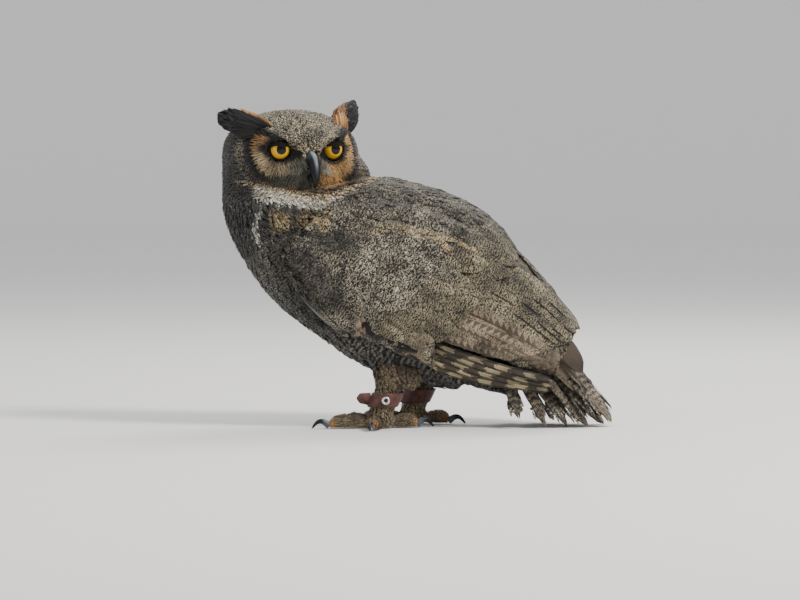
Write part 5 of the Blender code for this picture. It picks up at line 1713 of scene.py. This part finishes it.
def buildClaws():
    material = hornMaterial("claw")
    u = np.linspace(0, 1, claws["steps"] + 1)
    turns = turnsOf(claws["sides"])
    rise = np.sin(turns)
    wide = np.cos(turns) * (1 - 0.22 * np.clip(-rise, 0, 1))
    radius = claws["radius"] * (1 - u) ** 0.75 + claws["point"]
    height = claws["root"] + claws["rise"] * np.sin(math.pi * np.minimum(u * 1.12, 1.0))
    height -= (claws["root"] - claws["end"]) * u ** 2.2
    for side, toe, ahead, end in toeRays():
        reach = claws["reach"] * claws["sizes"].get(toe, 1.0) * (u - claws["curl"] * u ** 3)
        path = end + ahead * (0.0004 + reach)[:, None]
        path[:, 2] = height
        aside = np.array([-ahead[1], ahead[0], 0.0])
        over = np.cross(unit(np.gradient(path, axis=0)), aside)
        rows = [path[k] + aside * (radius[k] * 0.86 * wide)[:, None]
                + over[k] * (radius[k] * rise)[:, None] for k in range(len(u))]
        horn = [inColumns(share, np.abs(rise), wide) for share in u]
        ringPiece(f"claw{toe.capitalize()}{side.capitalize()}", rows, material,
                  [f"claw_{toe}_{side}"], "horn", horn)


# Leather band round each leg: its middle from the foot's, and its section as shares of
# thickness and of half its height. The flap is its pointed end, in front of the leg.
anklet = {"offset": (0.0055, 0.0, 0.0335), "inner": 0.0170, "outer": 0.0186, "half": 0.0082,
          "lean": 0.0034, "flare": 0.0004, "segments": 96,
          "section": [(0.0, -0.92), (0.25, -1.0), (0.75, -1.0), (1.0, -0.9), (1.05, -0.5),
                      (1.1, 0.0), (1.1, 0.5), (1.0, 0.9), (0.75, 1.0), (0.25, 1.0), (0.0, 0.92),
                      (-0.05, 0.0)]}
flap = {"start": (-0.01674, 0.0040, 0.0006), "run": (-0.01665, 0.0020, 0.0030), "half": 0.0078,
        "thick": 0.0006, "taper": 0.30, "bow": 0.0016, "droop": 0.0015, "steps": 14,
        "section": [(1, -0.93), (1.1, 0.0), (1, 0.93), (0, 1.0), (-1, 0.93), (-1.1, 0.0),
                    (-1, -0.93), (0, -1.0)]}
eyelet = {"ahead": 0.0010, "out": 0.0204, "radius": 0.0036, "bead": 0.0013, "depth": 0.0010,
          "segments": 40, "sides": 14}


def leatherMaterial():
    material, tree, shader = newMaterial("ankletLeather", {"Sheen Weight": 0.1})
    place = objectPlace(tree)
    grain = newNode(tree, "TexVoronoi", {"Vector": place, "Scale": 1500.0},
                    feature="DISTANCE_TO_EDGE")
    pores = stepNode(tree, grain.outputs["Distance"], 0.0, 0.12)
    stain = noiseNode(tree, place, 160.0, 4.0, 0.65)
    colour = mixNode(tree, stepNode(tree, stain, 0.3, 0.72), tint("#5e2f25"), tint("#33160f"))
    colour = mixNode(tree, timesPlus(tree, pores, -0.35, 0.35), colour, tint("#1e0c08"))
    tree.links.new(colour, shader.inputs["Base Color"])
    tree.links.new(timesPlus(tree, stain, 0.3, 0.42), shader.inputs["Roughness"])
    bumpInto(tree, shader, timesPlus(tree, stain, 0.8, pores), 0.4, 0.0002)
    return material


def eyeletMaterial():
    material, tree, shader = newMaterial("eyeletMetal", {"Metallic": 1.0})
    scuff = noiseNode(tree, objectPlace(tree), 700.0, 3.0)
    colour = mixNode(tree, scuff, tint("#b9c2ca"), tint("#e4e9ec"))
    tree.links.new(colour, shader.inputs["Base Color"])
    tree.links.new(timesPlus(tree, scuff, 0.3, 0.18), shader.inputs["Roughness"])
    return material


def bandRows(middle):
    deep, high = np.array(anklet["section"]).T
    rows = []
    for turn in turnsOf(anklet["segments"]):
        wave = 0.0003 * math.sin(turn * 3 + 1) + 0.00015 * math.sin(turn * 11)
        radius = anklet["inner"] + (anklet["outer"] - anklet["inner"]) * deep + wave
        radius += anklet["flare"] * high
        rows.append(middle + inColumns(math.cos(turn) * radius + anklet["lean"] * high,
                                       math.sin(turn) * radius, anklet["half"] * high))
    return rows + rows[:1]


def flapRows(middle, outward):
    flip = np.array([1.0, outward, 1.0])
    thick, high = np.array(flap["section"]).T
    rows = []
    for u in np.linspace(0, 1, flap["steps"]):
        half = flap["half"] * (1 - flap["taper"] * u) * min(1.0, 3.2 * (1.02 - u) ** 0.8)
        bend = np.array([0.0, flap["bow"] * math.sin(math.pi * u), -flap["droop"] * u * u])
        place = np.array(flap["start"]) + np.array(flap["run"]) * u + bend
        rows.append(middle + flip * (place + inColumns(0.0, flap["thick"] * thick, half * high)))
    return rows


def eyeletRows(middle, outward):
    hub = middle + (eyelet["ahead"], outward * eyelet["out"], 0.0)
    bend = turnsOf(eyelet["sides"])
    radius = eyelet["radius"] + eyelet["bead"] * np.cos(bend)
    rows = [hub + inColumns(math.cos(turn) * radius, outward * eyelet["depth"] * np.sin(bend),
                            math.sin(turn) * radius) for turn in turnsOf(eyelet["segments"])]
    return rows + rows[:1]


def buildAnklets():
    leather, metal = leatherMaterial(), eyeletMaterial()
    for side, foot in feet.items():
        outward = -1 if side == "left" else 1
        middle = np.array([*foot, 0.0]) + anklet["offset"]
        band = gridMesh("band", bandRows(middle))
        closeMesh(band, gridMesh("flap", flapRows(middle, outward)))
        addPiece(f"anklet{side.capitalize()}", band, leather, [f"anklet_{side}"])
        ringPiece(f"eyelet{side.capitalize()}", eyeletRows(middle, outward), metal,
                  [f"eyelet_{side}"])


print("coat of feathers")
buildCoat()
buildSkin()
print("wings, tail and ear tufts")
buildWingRows()
buildTail()
buildRump()
buildTufts()
print("eyes, bill, claws and anklets")
buildEyes()
buildLids()
buildBill()
buildClaws()
buildAnklets()

# Floor that curves up into a wall, lamps that look at one place, and the camera.
studio = {"floor": (0.80, 0.79, 0.77), "rings": (0.6, 2.0, 7.0), "curve": 2.0, "wall": 4.5,
          "sky": (0.93, 0.96, 1.0), "skyPower": 0.85, "lookAt": (0, 0, 0.18),
          # place, size, power and colour of each lamp
          "lamps": {"keyLight": ((2.0, -1.7, 2.7), 0.9, 150, (1.0, 0.96, 0.90)),
                    "fillLight": ((-2.4, -1.8, 1.2), 2.2, 12, (0.92, 0.96, 1.0)),
                    "rimLight": ((0.6, 1.6, 2.2), 1.2, 40, (1.0, 0.98, 0.95))},
          "middle": (-0.0183, 0.0, 0.1487), "distance": 6.0, "frameWidth": 0.944,
          "elevation": math.radians(2.5)}


def buildFloor():
    flat, curve = studio["rings"][-1], studio["curve"]
    profile = [(radius, 0.0) for radius in studio["rings"]]
    profile += [(flat + curve * math.sin(a), curve - curve * math.cos(a))
                for a in np.linspace(0.12, math.pi / 2, 14)]
    profile += [(flat + curve, studio["wall"])]
    turns = turnsOf(96)[::-1]
    mesh = gridMesh("floor", [inColumns(r * np.cos(turns), r * np.sin(turns), z)
                              for r, z in profile])
    shape = solidShape(mesh)
    shape.verts.ensure_lookup_table()
    shape.faces.new(shape.verts[:len(turns)][::-1]).smooth = True
    shape.to_mesh(mesh)
    shape.free()
    floor = bpy.data.objects.new("floor", mesh)
    bpy.context.scene.collection.objects.link(floor)
    material, _tree, _shader = newMaterial("floorPaint", {
        "Base Color": (*studio["floor"], 1.0), "Roughness": 0.9})
    mesh.materials.append(material)


def buildLights():
    world = bpy.data.worlds.new("studio")
    world.use_nodes = True
    sky = world.node_tree.nodes["Background"]
    sky.inputs["Color"].default_value = (*studio["sky"], 1.0)
    sky.inputs["Strength"].default_value = studio["skyPower"]
    bpy.context.scene.world = world
    for name, (place, size, power, colour) in studio["lamps"].items():
        lamp = bpy.data.lights.new(name, "AREA")
        lamp.size, lamp.energy, lamp.color = size, power, colour
        item = bpy.data.objects.new(name, lamp)
        item.location = place
        look = Vector(studio["lookAt"]) - Vector(place)
        item.rotation_euler = look.to_track_quat("-Z", "Y").to_euler()
        bpy.context.scene.collection.objects.link(item)


def buildCamera():
    camera = bpy.data.cameras.new("camera")
    camera.lens = camera.sensor_width * studio["distance"] / studio["frameWidth"]
    item = bpy.data.objects.new("camera", camera)
    back = Vector((0, -math.cos(studio["elevation"]), math.sin(studio["elevation"])))
    item.location = Vector(studio["middle"]) + back * studio["distance"]
    item.rotation_euler = (math.pi / 2 - studio["elevation"], 0, 0)
    bpy.context.scene.collection.objects.link(item)
    bpy.context.scene.camera = item


print("floor, lights and camera")
buildFloor()
buildLights()
buildCamera()
